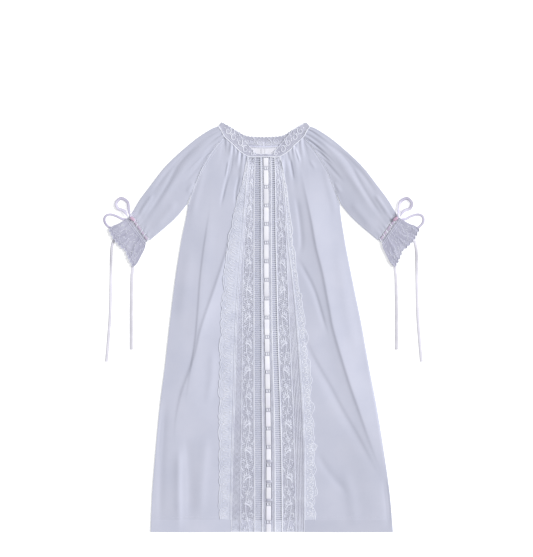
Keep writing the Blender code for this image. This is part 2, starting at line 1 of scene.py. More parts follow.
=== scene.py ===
"""Looks of a baby's daygown that lies flat on its back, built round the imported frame.

Cloth is a thin shell on the form of its solid. Lace is made of real threads and bands,
satin ribbon is woven through its beading, and seams and stitches are raised lines.

The head end points along +Y. Left and right are the viewer's, so left is -X.
Lengths are in millimetres until a mesh is made.
"""

import math
from collections import namedtuple

import bpy
import numpy as np
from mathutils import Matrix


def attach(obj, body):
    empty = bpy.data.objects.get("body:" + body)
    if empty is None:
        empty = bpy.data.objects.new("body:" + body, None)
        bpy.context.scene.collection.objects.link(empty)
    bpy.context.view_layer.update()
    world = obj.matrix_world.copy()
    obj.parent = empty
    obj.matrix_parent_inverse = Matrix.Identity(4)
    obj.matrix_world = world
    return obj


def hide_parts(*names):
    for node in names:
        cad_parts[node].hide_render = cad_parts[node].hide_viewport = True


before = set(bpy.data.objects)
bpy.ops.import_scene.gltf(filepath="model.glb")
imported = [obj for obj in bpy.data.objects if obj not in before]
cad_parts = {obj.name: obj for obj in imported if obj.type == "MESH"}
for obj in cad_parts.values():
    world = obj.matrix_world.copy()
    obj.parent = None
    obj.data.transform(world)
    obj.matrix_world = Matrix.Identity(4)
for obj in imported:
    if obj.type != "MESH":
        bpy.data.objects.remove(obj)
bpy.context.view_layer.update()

# Sizes shared with the frame
MM = 0.001
GAP = 0.3
HALF_LENGTH = 293.2
HEM_DEPTH = 17.0
RIBBON_WIDTH = 7.0
BOW_RIBBON_WIDTH = 4.5
WRIST_BAND_WIDTH = 6.0
SKIRT_LEAN = 7.0
BACK_LEVEL = 0.5
FRONT_LEVEL = 1.8
TRIM_LEVEL = 3.1

# Height of the panel's lace, and how thick cloth, net and satin are drawn
LACE_LEVEL = FRONT_LEVEL - 0.4
SHELL = 0.3
HEM_SHELL = 0.36
NET_SHELL = 0.2
SATIN_SHELL = 0.16

# The photograph: its size in pixels, the gown's scale, the pixel at the frame's origin, and the camera
PHOTO_WIDTH = 533
PHOTO_HEIGHT = 557
MM_PER_PIXEL = 1.43
ORIGIN_PIXEL = (264.0, 327.0)
CAMERA_HEIGHT = 1800.0
SENSOR_WIDTH = 36.0

# The floor and how far the camera sees, in metres
CLIP_END = 20.0
FLOOR_REACH = 6.0
FLOOR_DROP = 0.0002

# Light: a soft sun from the right and slightly above, and an even fill; together they light flat cloth
KEY_TILT = 48.0
KEY_HEADING = 14.0
KEY_SPREAD = 28.0
KEY_STRENGTH = 2.5
FILL_STRENGTH = 0.47
FILL_COLOUR = (0.98, 0.985, 1.0, 1.0)

# Seam lines of the front, each row at one distance from the middle of the length
SECTION_COLUMNS = (
    "y", "side_left", "frill_left", "panel_left", "insertion_left", "ladder_left", "beading_left",
    "beading_right", "ladder_right", "insertion_right", "panel_right", "frill_right", "side_right",
)
SECTIONS = np.array([
    (243, -108.5, -23.5, -21.4, -19.9, -13.4, -4.3, 9.3, 15.7, 19.9, 21.4, 23.5, 108.5),
    (210, -108.5, -29.5, -24.3, -22.6, -14.3, -3.8, 9.9, 16.4, 25.2, 27.2, 30, 108.5),
    (175.2, -108.5, -38, -27.3, -25.4, -14.8, -3.5, 10, 16.9, 28.6, 30.4, 35, 108.5),
    (124, -118, -49, -30.3, -28.2, -15, -3.4, 10, 17.4, 31.5, 33.6, 41, 115.5),
    (77, -125.5, -56, -34.3, -30, -15, -3.3, 10.2, 18.6, 33.3, 39.3, 46.5, 124.5),
    (4, -134.8, -61.5, -38.9, -31.1, -15, -2.6, 10.7, 20, 36, 46.5, 58.5, 139.3),
    (-60, -142, -63.5, -40.8, -31.6, -15, -2.4, 12.3, 22, 38.6, 51, 65.5, 150.7),
    (-104, -147.7, -64.5, -41.9, -32, -15, -2.3, 13.6, 23.5, 40.6, 54.1, 69, 159.3),
    (-185, -155.5, -64.3, -44.6, -33.2, -14.3, -1.4, 14.9, 25.7, 43.2, 57.2, 74, 172.5),
    (-240, -159.8, -64.3, -46, -33.6, -14.1, -1.7, 15.2, 26.4, 44.6, 57.4, 74.4, 180),
    (-293.2, -162, -64.3, -46.9, -33.7, -14, -2, 15.4, 26.7, 45.3, 57.6, 74.4, 184.5),
])
NECKLINE = SECTIONS[0, 0]
PANEL_TOP = NECKLINE - GAP
STRIP_LENGTH = PANEL_TOP + HALF_LENGTH

# Seams of one half, in plan, for the side at +X; the other side is their mirror image
NECK_SEAM = [(21.4, 243), (35.4, 251.3), (45, 261), (56.5, 271.5)]
RAGLAN_SEAM = [
    (56.5, 271.5), (72.9, 251.7), (87.2, 228.8), (93.4, 215), (100.1, 198), (108.5, 175.2),
]
SLEEVE_NECK_SEAM = [(65.8, 286.3), (60.9, 279.2), (56.9, 271.8)]
SLEEVE_TOP_FOLD = [
    (65.8, 286.3), (76.5, 281.7), (101.5, 264.6), (138, 231.7), (163, 200.2), (177.3, 180.9),
    (188.8, 161.5),
]
SLEEVE_UNDER_FOLD = [(110, 176), (122.3, 160.9), (137.3, 146.5), (163, 125)]
SEAM_SHIFT = (0.40, 0.30)
BACK_NECK_SEAM = [(0.15, 256), (20, 257.4), (34.3, 262.4), (48.6, 272.5), (60, 283)]
BACK_RAGLAN_SEAM = [(60, 283), (75, 256), (90, 228), (101, 199), (108.5, 175.2)]
FRONT_BAND_SEAM = [
    (0.15, 243.6), (10, 243.5), (21.2, 243.6), (35.1, 251.8), (44.7, 261.4), (56.2, 271.9),
    (60.4, 279.6), (65.3, 286.8),
]
FRONT_BAND_EDGE = [(0.15, 247.6), (10.5, 248), (19.5, 257), (31.5, 271), (42, 282.5), (60.5, 293.2)]
BACK_BAND_SEAM = [(0.15, 256.4), (20, 257.8), (34.1, 262.8), (48.3, 273), (62.5, 286.5)]
BACK_BAND_EDGE = [(0.15, 271.7), (25, 273.5), (39, 281), (59, 292.6)]
FLOUNCE_TOP_FOLD = [(194, 157), (204.1, 150.9), (210.2, 147.9), (216.2, 146), (223.2, 140.9)]
FLOUNCE_EDGE = [
    (223.2, 140.9), (219.2, 132.4), (214.8, 124.4), (204.5, 113.4), (198.8, 109.1), (195.1, 99.7),
    (189.3, 87.9), (185.6, 84.6),
]
FLOUNCE_UNDER_FOLD = [(168.2, 120.6), (169.6, 112.4), (175, 100.6), (180.4, 90), (185.6, 84.6)]

# Shares of a seam up to its corner, how far cloth rises over the body and folds outwards at its
# edges, and how far the first rows of the hem dip
NECK_SHARE = 0.42
SLEEVE_NECK_SHARE = 0.3
BACK_SLEEVE_NECK_SHARE = 1 / 12
SLEEVE_CROWN = 1.0
FRONT_CROWN = 0.9
FOLD_REACH = 0.6
HEM_FOLD = (0.34, 0.12)

# Creases of the side fronts in plan, each along its route from the neck towards the hem.
# Height is above the cloth, or below it where negative; west and east are how far each flank reaches.
Crease = namedtuple("Crease", ("route", "height", "west", "east"))
CREASES_LEFT = [
    Crease([(-37.2, 174.5), (-48, 130.7), (-54.6, 101.5), (-67.5, 60.9), (-80.1, 24.3), (-90.1, -7.2),
            (-97.2, -38.6), (-107.3, -68.6), (-117.3, -97.2), (-124.4, -133),
            (-127.3, -175.9)], 1.4, 2.8, 26),
    Crease([(-74.4, 183), (-80.5, 142), (-85.4, 109.5), (-90.2, 69.1), (-93.5, 24.3), (-97.5, -20),
            (-106, -75), (-113, -120)], 1, 1.8, 10),
    Crease([(-44.9, 242.5), (-54.6, 205.2), (-62.9, 169.6)], -1.3, 2, 1.8),
    Crease([(-35, 218.2), (-40, 195.9), (-41.5, 173)], -1.1, 1.8, 1.8),
    Crease([(-50.5, 238), (-55.2, 211.6)], 1, 1.4, 1.6),
    Crease([(-121, -168), (-121.5, -233.1), (-120.1, -296)], 1.1, 6, 5),
    Crease([(-112, -150), (-107, -215), (-107, -296)], -0.75, 5, 8),
    Crease([(-140, -95), (-146, -160), (-148.5, -235), (-149, -296)], -0.8, 5, 6),
    Crease([(-82, -150), (-88, -215), (-92, -280)], 1, 9, 7),
    Crease([(-73, -30), (-75, -75), (-82, -115)], 0.9, 6, 6),
    Crease([(-104, 120), (-112, 60), (-120, -10)], 0.9, 9, 10),
    Crease([(-85, 235), (-92, 205), (-100, 175), (-104, 150)], 0.8, 5, 5),
]
CREASES_RIGHT = [
    Crease([(48.5, 244), (57.2, 205.9), (64.4, 174.5), (69.4, 150.2), (75.8, 114.4), (85.1, 77.2),
            (94.4, 28.6), (101.5, -7.2), (121.6, -74.4), (135.9, -115.8), (153, -164.5), (170.2, -208.8),
            (178, -236)], 1.35, 3, 32),
    Crease([(45, 190), (51, 150), (53, 118), (47.5, 97)], -1, 2.8, 4),
    Crease([(43.9, 101.5), (55.2, 85.2), (71.5, 52.9), (84, 12), (93, -18)], -1, 4, 2.4),
    Crease([(55.2, 0), (61.2, -24.3), (76, -55), (93, -84.4), (113, -122), (133, -156.6), (155, -198),
            (168.7, -224.5)], -0.95, 7, 3),
    Crease([(72.9, -175.9), (93, -208.8), (124.4, -244.5)], -0.8, 5, 5),
    Crease([(172, -215), (178, -262), (176, -292)], -0.9, 5, 4),
    Crease([(112, -200), (124, -240), (132, -292)], 0.8, 8, 8),
    Crease([(104, 130), (112, 70), (124, 0), (140, -60)], 0.8, 9, 10),
    Crease([(85, 235), (92, 205), (100, 175), (104, 150)], 0.7, 5, 5),
    Crease([(43.9, 258), (48.5, 245), (52, 234.5)], 1.4, 1.4, 1.8),
    Crease([(64.9, 238), (69.8, 232), (74.5, 226)], 0.65, 1.8, 2.4),
    Crease([(25.2, 242.4), (26.5, 230), (27.6, 218)], 1.2, 1.5, 2),
    Crease([(37.3, 241), (39.5, 226), (42.2, 210.2)], -1.3, 1.6, 1.6),
]

# Creases of a sleeve in plan, for the side at +X
CREASES_SLEEVE = [
    Crease([(101.5, 253.8), (121, 236), (137.3, 205.2), (153.4, 179.3), (169.6, 156.6),
            (179.5, 145.3)], -1, 3.8, 3),
    Crease([(86, 267), (113, 246), (137.3, 222.5), (154, 200), (163.5, 184)], -0.85, 3, 3),
    Crease([(70, 270.5), (104.8, 240.5), (121, 219), (140.4, 191), (156, 166)], 1.15, 5.5, 6),
    Crease([(67, 265), (80.5, 249), (93.5, 231.1), (104.8, 216.6), (117.8, 203.6)], -0.9, 3, 3),
    Crease([(158, 190), (170, 173), (180, 158)], 1.2, 3, 3),
    Crease([(100.1, 207), (110.1, 191)], 0.9, 3, 3),
    Crease([(124, 180), (140, 160), (158, 139)], 0.9, 5, 6),
]

# Painted light and shade beside the creases and between the neck gathers, partly for where layers of sheer
# cloth lie doubled: the height is the change in tone
LAYERS_AND_SHADE_LEFT = [
    Crease([(-37.2, 185), *CREASES_LEFT[0].route[1:7]], 0.13, 1.5, 20),
    Crease([(-70, -20), (-80, -80), (-84, -150)], 0.04, 14, 14),
    Crease([(-84, 160), (-98, 60), (-112, -40)], -0.035, 12, 10),
    Crease([(-124, -180), (-131, -230), (-132, -296)], -0.04, 10, 7),
    Crease([(-120, -160), (-120, -230), (-119, -310)], 0.06, 3, 3.5),
    Crease([(-45, 262), (-46.5, 252), (-53, 232)], 0.12, 2.5, 3),
    Crease([(-33, 254), (-35.5, 243), (-36, 226)], 0.12, 2.5, 2.5),
]
LAYERS_AND_SHADE_RIGHT = [
    Crease([(50, 250), *CREASES_RIGHT[0].route[2:12]], 0.12, 1.2, 34),
    Crease([(52, 220), *CREASES_RIGHT[0].route[2:12]], -0.06, 15, 1.2),
    Crease([(74, 20), (86, -60), (100, -130)], 0.05, 14, 14),
    Crease([(118, -130), (144, -230), (152, -310)], -0.06, 26, 22),
    Crease([(42, 262), (45, 251), (52, 230)], 0.12, 2.2, 3),
    Crease([(27.5, 252), (29, 242), (28.5, 222)], 0.12, 2.5, 2.5),
]

# Painted light and shade for whole pieces: both sleeves and the right hem painted darker, the right side
# most, where the key light from the right falls harder; the left hem a little paler
SLEEVE_SHADE = {"left": -0.025, "right": -0.06}
HEM_SHADE = {"left": 0.02, "right": -0.04}

# Creases of the back in plan, for the side at +X
CREASES_BACK = [
    Crease([(60, 230), (72, 120), (96, -60), (110, -180)], 0.35, 9, 5),
    Crease([(38, 250), (44, 190), (52, 100)], 0.3, 4, 4),
    Crease([(30, 40), (38, -80), (42, -240)], 0.35, 7, 9),
    Crease([(118, 30), (136, -90), (146, -220)], 0.3, 8, 6),
    Crease([(75, -120), (82, -200), (84, -290)], 0.3, 6, 6),
]

# Gathers where cloth is drawn into a seam: how many at each seam, and their height
NECK_GATHERS = 17
SLEEVE_GATHERS = 12
WRIST_GATHERS = 17
GATHER_HEIGHT = 1.1

# Bow ribbons for the side at +X: plan position and height of the ribbon's middle, as in the frame
ON_FLOOR = 0.5
UPPER_LOOP = [
    (190.6, 158, 6.6), (192.1, 162, 5.6), (193.2, 169, 3.6), (195.3, 179, 2.5),
    (204.5, 184, 2.5), (211.3, 177, 2.5), (208.5, 169.4, 2.6), (201.5, 166.8, 3.4),
    (197.2, 162.6, 5), (194.4, 157.8, 6.4),
]
LOWER_LOOP = [(x, y, ON_FLOOR) for x, y in (
    (194.2, 154.4), (198, 154), (203.2, 154.6), (210.5, 158.4), (219.9, 161), (226.6, 158.6),
    (228.4, 152.4), (225.3, 146), (219, 141.6), (210, 142.4), (202, 146.6), (194.6, 151.9),
)]
OUTER_TAIL = [(x, y, ON_FLOOR) for x, y in (
    (193, 150), (198.5, 143.5), (207, 133.5), (214.5, 124.4), (217.3, 115.8), (218.5, 101.5),
    (218.9, 71.5), (220, 20), (222.4, -15), (225.4, -49.8),
)]
INNER_TAIL = [(x, y, ON_FLOOR) for x, y in (
    (190.4, 149.6), (190.6, 143), (189.4, 128), (187.8, 106), (187.8, 84.4), (189, 71.5),
    (189.6, 45), (189.8, 20), (189.8, -32.5),
)]
# Painted sheen and shade along each bow ribbon: pairs of a share of its length and how much paler or darker
# it is painted there
OUTER_TAIL_TONES = ((0.15, 0.0), (0.26, -0.24), (0.34, -0.18), (0.45, 0.12), (0.55, 0.0), (1.0, -0.06))
INNER_TAIL_TONES = ((0.3, -0.04), (0.37, -0.06), (0.50, -0.14), (0.62, -0.22), (1.0, -0.24))
LOOP_TONES = ((0.0, 0.10), (0.12, 0.06), (0.3, -0.08), (0.55, -0.12), (0.85, 0.0), (1.0, 0.08))
LOOP_TILT = math.radians(12.0)
PINCHED_WIDTH = 1.2
RIBBON_PINCH = 0.42
KNOT_PLACE = (187.6, 154.3, 5.9)
KNOT_RADII = (4.0, 2.9, 1.9)

# Lace: half widths and heights of its threads and bands, and how far apart they repeat
NET_THREAD = (0.24, 0.22)
NET_PITCH = 1.25
FINE_BAND = (0.34, 0.40)
OUTLINE_BAND = (0.55, 0.55)
LEAF_BAND = (1.0, 0.65)
SCROLL_REPEAT = 38.3
SCROLL_START = -23.8
SCROLL_HALF_WIDTH = 8.0
SPRIG_PITCH = 12.0
FLOUNCE_LEAVES = 70
LADDER_PITCH = 2.7
LADDER_BAR = (0.58, 0.55)
RAIL_BAND = (0.76, 0.75)

# Sewing: the cord of a seam, and its stitches
SEAM_CORD = (0.40, 0.55)
WHIP_PITCH = 1.5
STITCH_LENGTH = 1.6
STITCH_THREAD = (0.15, 0.18)

# Tones of a lace piece: its ground, the brighter thread of its pattern, and a darker tone of painted shade
GROUND = 0
BRIGHT = 1
SHADED = 2

# Heights along the gown where the centre ribbon passes under the beading, the crossings that get a band of
# painted shade above them, and the form of its floats
CROSSINGS = np.array([
    227.0, 200.4, 173.8, 147.2, 120.6, 94.0, 67.4, 40.8, 13.6, -14.3, -38.6, -64.4, -91.5, -118.7,
    -145.1, -171.6, -197.3, -226.7, -253.1, -278.9,
])
SHADED_CROSSINGS = slice(-4, -1)
FLOAT_LENGTH = 26.6
RIBBON_FALL = 4.2
RIBBON_ARCH = 0.85
BAR_OFFSET = 2.1

# Cross-sections of strands, from their left foot over the top to their right foot
THREAD_SECTION = ((-1.0, 0.0), (0.0, 1.0), (1.0, 0.0))
BAND_SECTION = ((-1.0, 0.0), (-0.62, 0.85), (0.0, 1.0), (0.62, 0.85), (1.0, 0.0))

randoms = np.random.default_rng(11)


# Curves and surfaces

def points_at(*coordinates):
    """Points from coordinates that broadcast together."""
    return np.stack(np.broadcast_arrays(*coordinates), axis=-1)


def arrays(*values):
    """Arrays of numbers that all have one shape."""
    return np.broadcast_arrays(*(np.asarray(value, float) for value in values))


def shares(count):
    """Even steps from 0 to 1."""
    return np.linspace(0, 1, count)


def smooth_path(points, pieces=12):
    """Return a function giving points at shares, 0 to 1, of a smooth curve's length."""
    points = np.array(points, float)
    padded = np.vstack([2 * points[0] - points[1], points, 2 * points[-1] - points[-2]])
    dense = [points[0]]
    for before, here, there, after in zip(padded, padded[1:], padded[2:], padded[3:]):
        for piece in range(1, pieces + 1):
            t = piece / pieces
            dense.append(0.5 * (
                2 * here + (there - before) * t
                + (2 * before - 5 * here + 4 * there - after) * t ** 2
                + (3 * here - before - 3 * there + after) * t ** 3
            ))
    dense = np.array(dense)
    lengths = np.concatenate([[0.0], np.cumsum(np.linalg.norm(np.diff(dense, axis=0), axis=1))])

    def at(share):
        distance = np.asarray(share, float) * lengths[-1]
        return points_at(*(np.interp(distance, lengths, column) for column in dense.T))

    at.length = lengths[-1]
    return at


def mirrored(points, sign):
    """Points of a half, put on the side with this sign."""
    return [(sign * point[0], *point[1:]) for point in points]


def side_path(points, sign):
    """Smooth path along points of a half, on the side with this sign."""
    return smooth_path(mirrored(points, sign))


def straight_path(start, end):
    """A straight line as a path function."""
    start = np.array(start, float)
    end = np.array(end, float)
    return lambda share: start + np.asarray(share, float)[..., None] * (end - start)


def joined_paths(first, second, split):
    """Follow one path up to the split and another after it, so that their corner stays sharp."""
    def at(share):
        share = np.asarray(share, float)
        early = first(np.clip(share / split, 0, 1))
        late = second(np.clip((share - split) / (1 - split), 0, 1))
        return np.where((share <= split)[..., None], early, late)
    return at


def patch_point(start, end, first, last, s, t):
    """Points of a four-sided patch: start and end run along s, first and last along t."""
    s, t = arrays(s, t)
    across = s[..., None]
    down = t[..., None]
    sides = (1 - down) * start(s) + down * end(s) + (1 - across) * first(t) + across * last(t)
    corners = (
        (1 - across) * (1 - down) * start(0.0) + across * (1 - down) * start(1.0)
        + (1 - across) * down * end(0.0) + across * down * end(1.0)
    )
    return sides - corners


def seam_x(column, y):
    """Smooth values of one column of the section table at heights."""
    ys = SECTIONS[::-1, 0]
    values = SECTIONS[::-1, SECTION_COLUMNS.index(column)]
    slopes = np.gradient(values, ys)
    y = np.clip(np.asarray(y, float), ys[0], ys[-1])
    span = np.clip(np.searchsorted(ys, y, side="right") - 1, 0, len(ys) - 2)
    width = ys[span + 1] - ys[span]
    t = (y - ys[span]) / width
    return (
        (2 * t ** 3 - 3 * t ** 2 + 1) * values[span] + (t ** 3 - 2 * t ** 2 + t) * width * slopes[span]
        + (3 * t ** 2 - 2 * t ** 3) * values[span + 1] + (t ** 3 - t ** 2) * width * slopes[span + 1]
    )


def side_name(sign):
    """Word for the side of the gown."""
    return "right" if sign > 0 else "left"


def smooth_step(value):
    """Ease from 0 to 1."""
    value = np.clip(value, 0.0, 1.0)
    return value * value * (3 - 2 * value)


def with_height(plan, height):
    """Plan points and their heights as points in space."""
    return points_at(plan[..., 0], plan[..., 1], height)


def crease_height(plan, creases):
    """Height that creases add at plan points: a soft ridge or trough with two unlike flanks."""
    flat = plan.reshape(-1, 2)
    total = np.zeros(len(flat))
    samples = 90
    for crease in creases:
        line = smooth_path(crease.route)(shares(samples))
        tangents = np.gradient(line, axis=0)
        spacing = np.linalg.norm(tangents, axis=1)
        tangents = tangents / spacing[:, None]
        nearest = np.argmin(
            (flat[:, None, 0] - line[None, :, 0]) ** 2 + (flat[:, None, 1] - line[None, :, 1]) ** 2, axis=1
        )
        offset = flat - line[nearest]
        along = np.sum(offset * tangents[nearest], axis=1)
        aside = tangents[nearest, 0] * offset[:, 1] - tangents[nearest, 1] * offset[:, 0]
        share = (nearest + along / spacing[nearest]) / (samples - 1)
        fade = smooth_step(share / 0.22) * smooth_step((1 - share) / 0.3)
        reach = np.where(aside < 0, crease.west, crease.east)
        total += crease.height * fade * np.exp(-(aside / reach) ** 2)
    return total.reshape(plan.shape[:-1])


def make_gathers(count, first, last, longest):
    """Small gathers at a seam: place, lean, length as a share of the piece, width and height."""
    places = first + (last - first) * (np.arange(count) + randoms.uniform(0.15, 0.85, count)) / count
    heights = GATHER_HEIGHT * randoms.uniform(0.5, 1.2, count)
    heights[1::3] *= -0.8
    return np.stack([
        places, randoms.uniform(-0.05, 0.25, count), longest * randoms.uniform(0.2, 1.0, count) ** 1.3,
        randoms.uniform(1.5, 2.8, count), heights,
    ], axis=1)


def gather_height(gathers, place, reach, width):
    """Height of the gathers, where reach is the share of the piece's length from the seam."""
    total = np.zeros(np.broadcast(place, reach).shape)
    for middle, lean, length, half_width, height in gathers:
        fade = smooth_step(1 - reach / length)
        offset = (place - middle - lean * reach) * width / (half_width * (1 + 2 * reach / length))
        total = total + height * fade * np.exp(-offset * offset)
    return total


# Making meshes

def add_object(name, data):
    """New object in the scene."""
    thing = bpy.data.objects.new(name, data)
    bpy.context.scene.collection.objects.link(thing)
    return thing


def add_piece(name, points, faces, *materials, shell=0.0, tones=None, rims=None, shade=None):
    """New object from points in millimetres and lists of faces, as a thin shell where asked.

    An edge between two points of one rim stays sharp. Shade is painted light and shade: it makes cloth paler
    or darker at each point.
    """
    mesh = bpy.data.meshes.new(name)
    mesh.from_pydata((np.asarray(points) * MM).tolist(), [], faces)
    for material in materials:
        mesh.materials.append(material)
    if tones is not None:
        mesh.polygons.foreach_set("material_index", tones)
    mesh.polygons.foreach_set("use_smooth", [True] * len(mesh.polygons))
    if rims is not None:
        ends = np.empty(2 * len(mesh.edges), dtype=np.int32)
        mesh.edges.foreach_get("vertices", ends)
        first, second = rims[ends.reshape(-1, 2)].T
        mesh.edges.foreach_set("use_edge_sharp", (first > 0) & (first == second))
    if shade is not None:
        mesh.attributes.new("shade", "FLOAT", "POINT").data.foreach_set("value", shade.reshape(-1))
    mesh.update()
    piece = add_object(name, mesh)
    if shell:
        wall = piece.modifiers.new("wall", "SOLIDIFY")
        wall.thickness = shell * MM
        wall.offset = 0.0
        wall.use_even_offset = False
        piece.modifiers.new("true normals at edges", "WEIGHTED_NORMAL")
    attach(piece, "root")
    return piece


def stand_in(piece, node):
    """This piece takes the place of a plain solid, which is hidden."""
    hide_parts(node)
    return piece


def grid_faces(rows, columns, ring=False):
    """Quads of a grid, wound to face up where rows run down and columns run right."""
    row, column = np.meshgrid(np.arange(rows - 1), np.arange(columns if ring else columns - 1), indexing="ij")
    following = (column + 1) % columns
    return np.stack([
        row * columns + column, (row + 1) * columns + column,
        (row + 1) * columns + following, row * columns + following,
    ], axis=-1).reshape(-1, 4).tolist()


def add_sheet(name, grid, material, shell=SHELL, ring=False, flip=False, shade=None):
    """Cloth through a grid of points."""
    faces = grid_faces(*grid.shape[:2], ring)
    if flip:
        faces = [face[::-1] for face in faces]
    return add_piece(name, grid.reshape(-1, 3), faces, material, shell=shell, shade=shade)


class Strands:
    """Threads and bands of one piece, each a closed strand with a flat underside."""

    def __init__(self):
        self.points = []
        self.faces = []
        self.tones = []
        self.rims = []
        self.count = 0

    def add(self, lines, size, section=THREAD_SECTION, taper=None, tone=GROUND):
        """Strands along lines, an array of strand, point and x y z; size is half width and height."""
        lines = np.asarray(lines, float)
        if lines.ndim == 2:
            lines = lines[None]
        strands, steps = lines.shape[:2]
        half_width, height = size
        profile = np.ones(steps) if taper is None else taper(shares(steps))
        tangents = np.gradient(lines, axis=1)
        aside = np.stack([tangents[..., 1], -tangents[..., 0]], axis=-1)
        aside = with_height(aside / np.maximum(np.linalg.norm(aside, axis=-1, keepdims=True), 1e-9), 0.0)
        section = np.array(section)
        corners = len(section)
        across = (half_width * profile)[None, :, None, None] * section[None, None, :, 0, None]
        upward = (height * (0.4 + 0.6 * profile))[None, :, None] * section[None, None, :, 1]
        points = lines[:, :, None, :] + aside[:, :, None, :] * across
        points[..., 2] += upward
        self.points.append(points.reshape(-1, 3))
        strand, step, corner = np.meshgrid(
            np.arange(strands), np.arange(steps - 1), np.arange(corners), indexing="ij"
        )
        base = self.count + (strand * steps + step) * corners
        following = (corner + 1) % corners
        sides = np.stack([
            base + corner, base + following, base + corners + following, base + corners + corner,
        ], axis=-1).reshape(-1, 4)
        starts = self.count + np.arange(strands)[:, None] * steps * corners
        first_caps = starts + np.arange(corners)[None, ::-1]
        last_caps = starts + (steps - 1) * corners + np.arange(corners)[None, :]
        self.faces += sides.tolist() + first_caps.tolist() + last_caps.tolist()
        rims = np.zeros((strands, steps, corners), dtype=int)
        rims[:, 0] = 2 * self.count + 1 + 2 * np.arange(strands)[:, None]
        rims[:, -1] = rims[:, 0] + 1
        self.rims.append(rims.reshape(-1))
        self.tones += [tone] * (len(self.faces) - len(self.tones))
        self.count += strands * steps * corners

    def band(self, lines, size, taper=None, tone=BRIGHT):
        """Rounded bands, of the bright thread unless another tone is named."""
        self.add(lines, size, BAND_SECTION, taper, tone)

    def make(self, name, *materials):
        """One object of all the strands."""
        tones = self.tones if len(materials) > 1 else None
        points = np.concatenate(self.points)
        return add_piece(name, points, self.faces, *materials, tones=tones, rims=np.concatenate(self.rims))

    def lace(self, node, materials):
        """One piece of lace that stands for a solid."""
        return stand_in(self.make("lace_" + node, *materials), node)


def leaf_taper(share):
    """Thin at the stalk, wide in the middle, pointed at the tip."""
    return 0.12 + 0.88 * np.sin(np.pi * share ** 0.8) ** 0.9


def curl_taper(share):
    """A band that thins towards its end."""
    return 1.0 - 0.45 * share


# Lace patterns in a strip's own plane: u runs across from its middle, v along it

def circle_line(centre, radius, start, turns, steps, end_radius):
    """Spiral round a centre."""
    share = shares(steps)
    radius = radius + (end_radius - radius) * share
    angle = start + 2 * np.pi * turns * share
    return points_at(centre[0] + radius * np.cos(angle), centre[1] + radius * np.sin(angle))


def bent_line(start, end, bow, steps):
    """Line between two points that bows to one side."""
    start = np.array(start, float)
    end = np.array(end, float)
    share = shares(steps)[:, None]
    aside = np.array([start[1] - end[1], end[0] - start[0]])
    return start + (end - start) * share + aside * bow * np.sin(np.pi * share)


def scroll_motif(hand):
    """Half a repeat: a small flower, then a palmette and a bold hook that lean to one side."""
    lines = []
    for petal in range(6):
        angle = 2 * np.pi * (petal + 0.5) / 6
        root = (0.9 * math.cos(angle), 6.0 + 0.9 * math.sin(angle))
        tip = (3.9 * math.cos(angle), 6.0 + 4.1 * math.sin(angle))
        lines.append((bent_line(root, tip, 0.1, 5), (0.95, 0.6), leaf_taper))
    base = (0.8 * hand, 22.0)
    for leaf in range(7):
        angle = math.radians(-90 + (leaf - 3) * 33)
        long = 8.0 - 0.5 * abs(leaf - 3)
        root = (base[0] + 1.6 * math.cos(angle), base[1] + 1.6 * math.sin(angle))
        tip = (base[0] + 0.80 * long * math.cos(angle), base[1] + long * math.sin(angle))
        lines.append((bent_line(root, tip, 0.12 * hand, 6), LEAF_BAND, leaf_taper))
    hook = bent_line((-5.2 * hand, 21.0), (4.6 * hand, 30.0), -0.2 * hand, 9)
    lines.append((hook, (1.2, 0.75), leaf_taper))
    curl = circle_line((3.2 * hand, 27.2), 2.6, 0.5 * np.pi, -0.8 * hand, 9, end_radius=1.6)
    lines.append((curl, (0.65, 0.6), curl_taper))
    for side in (-1.0, 1.0):
        for root, tip, bow in (
            ((5.2, 12.0), (6.9, 6.5), 0.15), ((3.4, 11.4), (6.7, 15.4), -0.2),
            ((4.4, 33.4), (6.9, 37.5), 0.15), ((2.0, 34.2), (5.0, 35.8), 0.2),
            ((4.6, 2.6), (6.8, 0.4), -0.15),
        ):
            leaf = bent_line((root[0] * side, root[1]), (tip[0] * side, tip[1]), bow * side, 5)
            lines.append((leaf, (0.85, 0.55), leaf_taper))
    return lines


def add_pattern(strands, place, motif, repeats):
    """Put a motif at every repeat inside the strip; place maps u, v and height to points in space."""
    for line, size, taper in motif:
        v = line[:, 1] + repeats[:, None]
        v = v[(v.min(axis=1) > 0.5) & (v.max(axis=1) < STRIP_LENGTH - 0.5)]
        strands.band(place(line[:, 0], v, 0.1), size, taper)


def add_net(strands, place, left, right, pitch, size, lift=0.0, slope=1.0):
    """Net of two crossing sets of threads between u = left and right."""
    ends = shares(2)
    rise = (right - left) * slope
    firsts = np.arange(-rise, STRIP_LENGTH + rise, pitch)
    for direction in (1.0, -1.0):
        v = firsts[:, None] + direction * rise * (ends - 0.5) + rise / 2
        v = v[(v.min(axis=1) >= 0) & (v.max(axis=1) <= STRIP_LENGTH)]
        strands.add(place(left + (right - left) * ends, v, lift), size)


def add_lines_along(strands, place, offsets, size, steps, lift=0.0, tone=BRIGHT):
    """Bands that run along the strip at these u offsets."""
    v = np.linspace(0, STRIP_LENGTH, steps)
    strands.band(place(np.array(offsets)[:, None], v, lift), size, tone=tone)


def strip_place(near, far, half_width, level):
    """Map of a panel strip: u is in millimetres for a strip this half as wide, v is down from its top."""
    def at(u, v, lift):
        y = PANEL_TOP - v
        left = seam_x(near, y)
        right = seam_x(far, y)
        return points_at((left + right) / 2 + u / half_width * (right - left) / 2, y, level + lift)

    return at


# Cloth pieces

def edge_path(x_at, top, bottom):
    """Edge of a cloth piece that lies at x_at of each y, from its top to its bottom."""
    def at(reach):
        y = top + (bottom - top) * np.asarray(reach, float)
        return points_at(x_at(y), y)

    return at


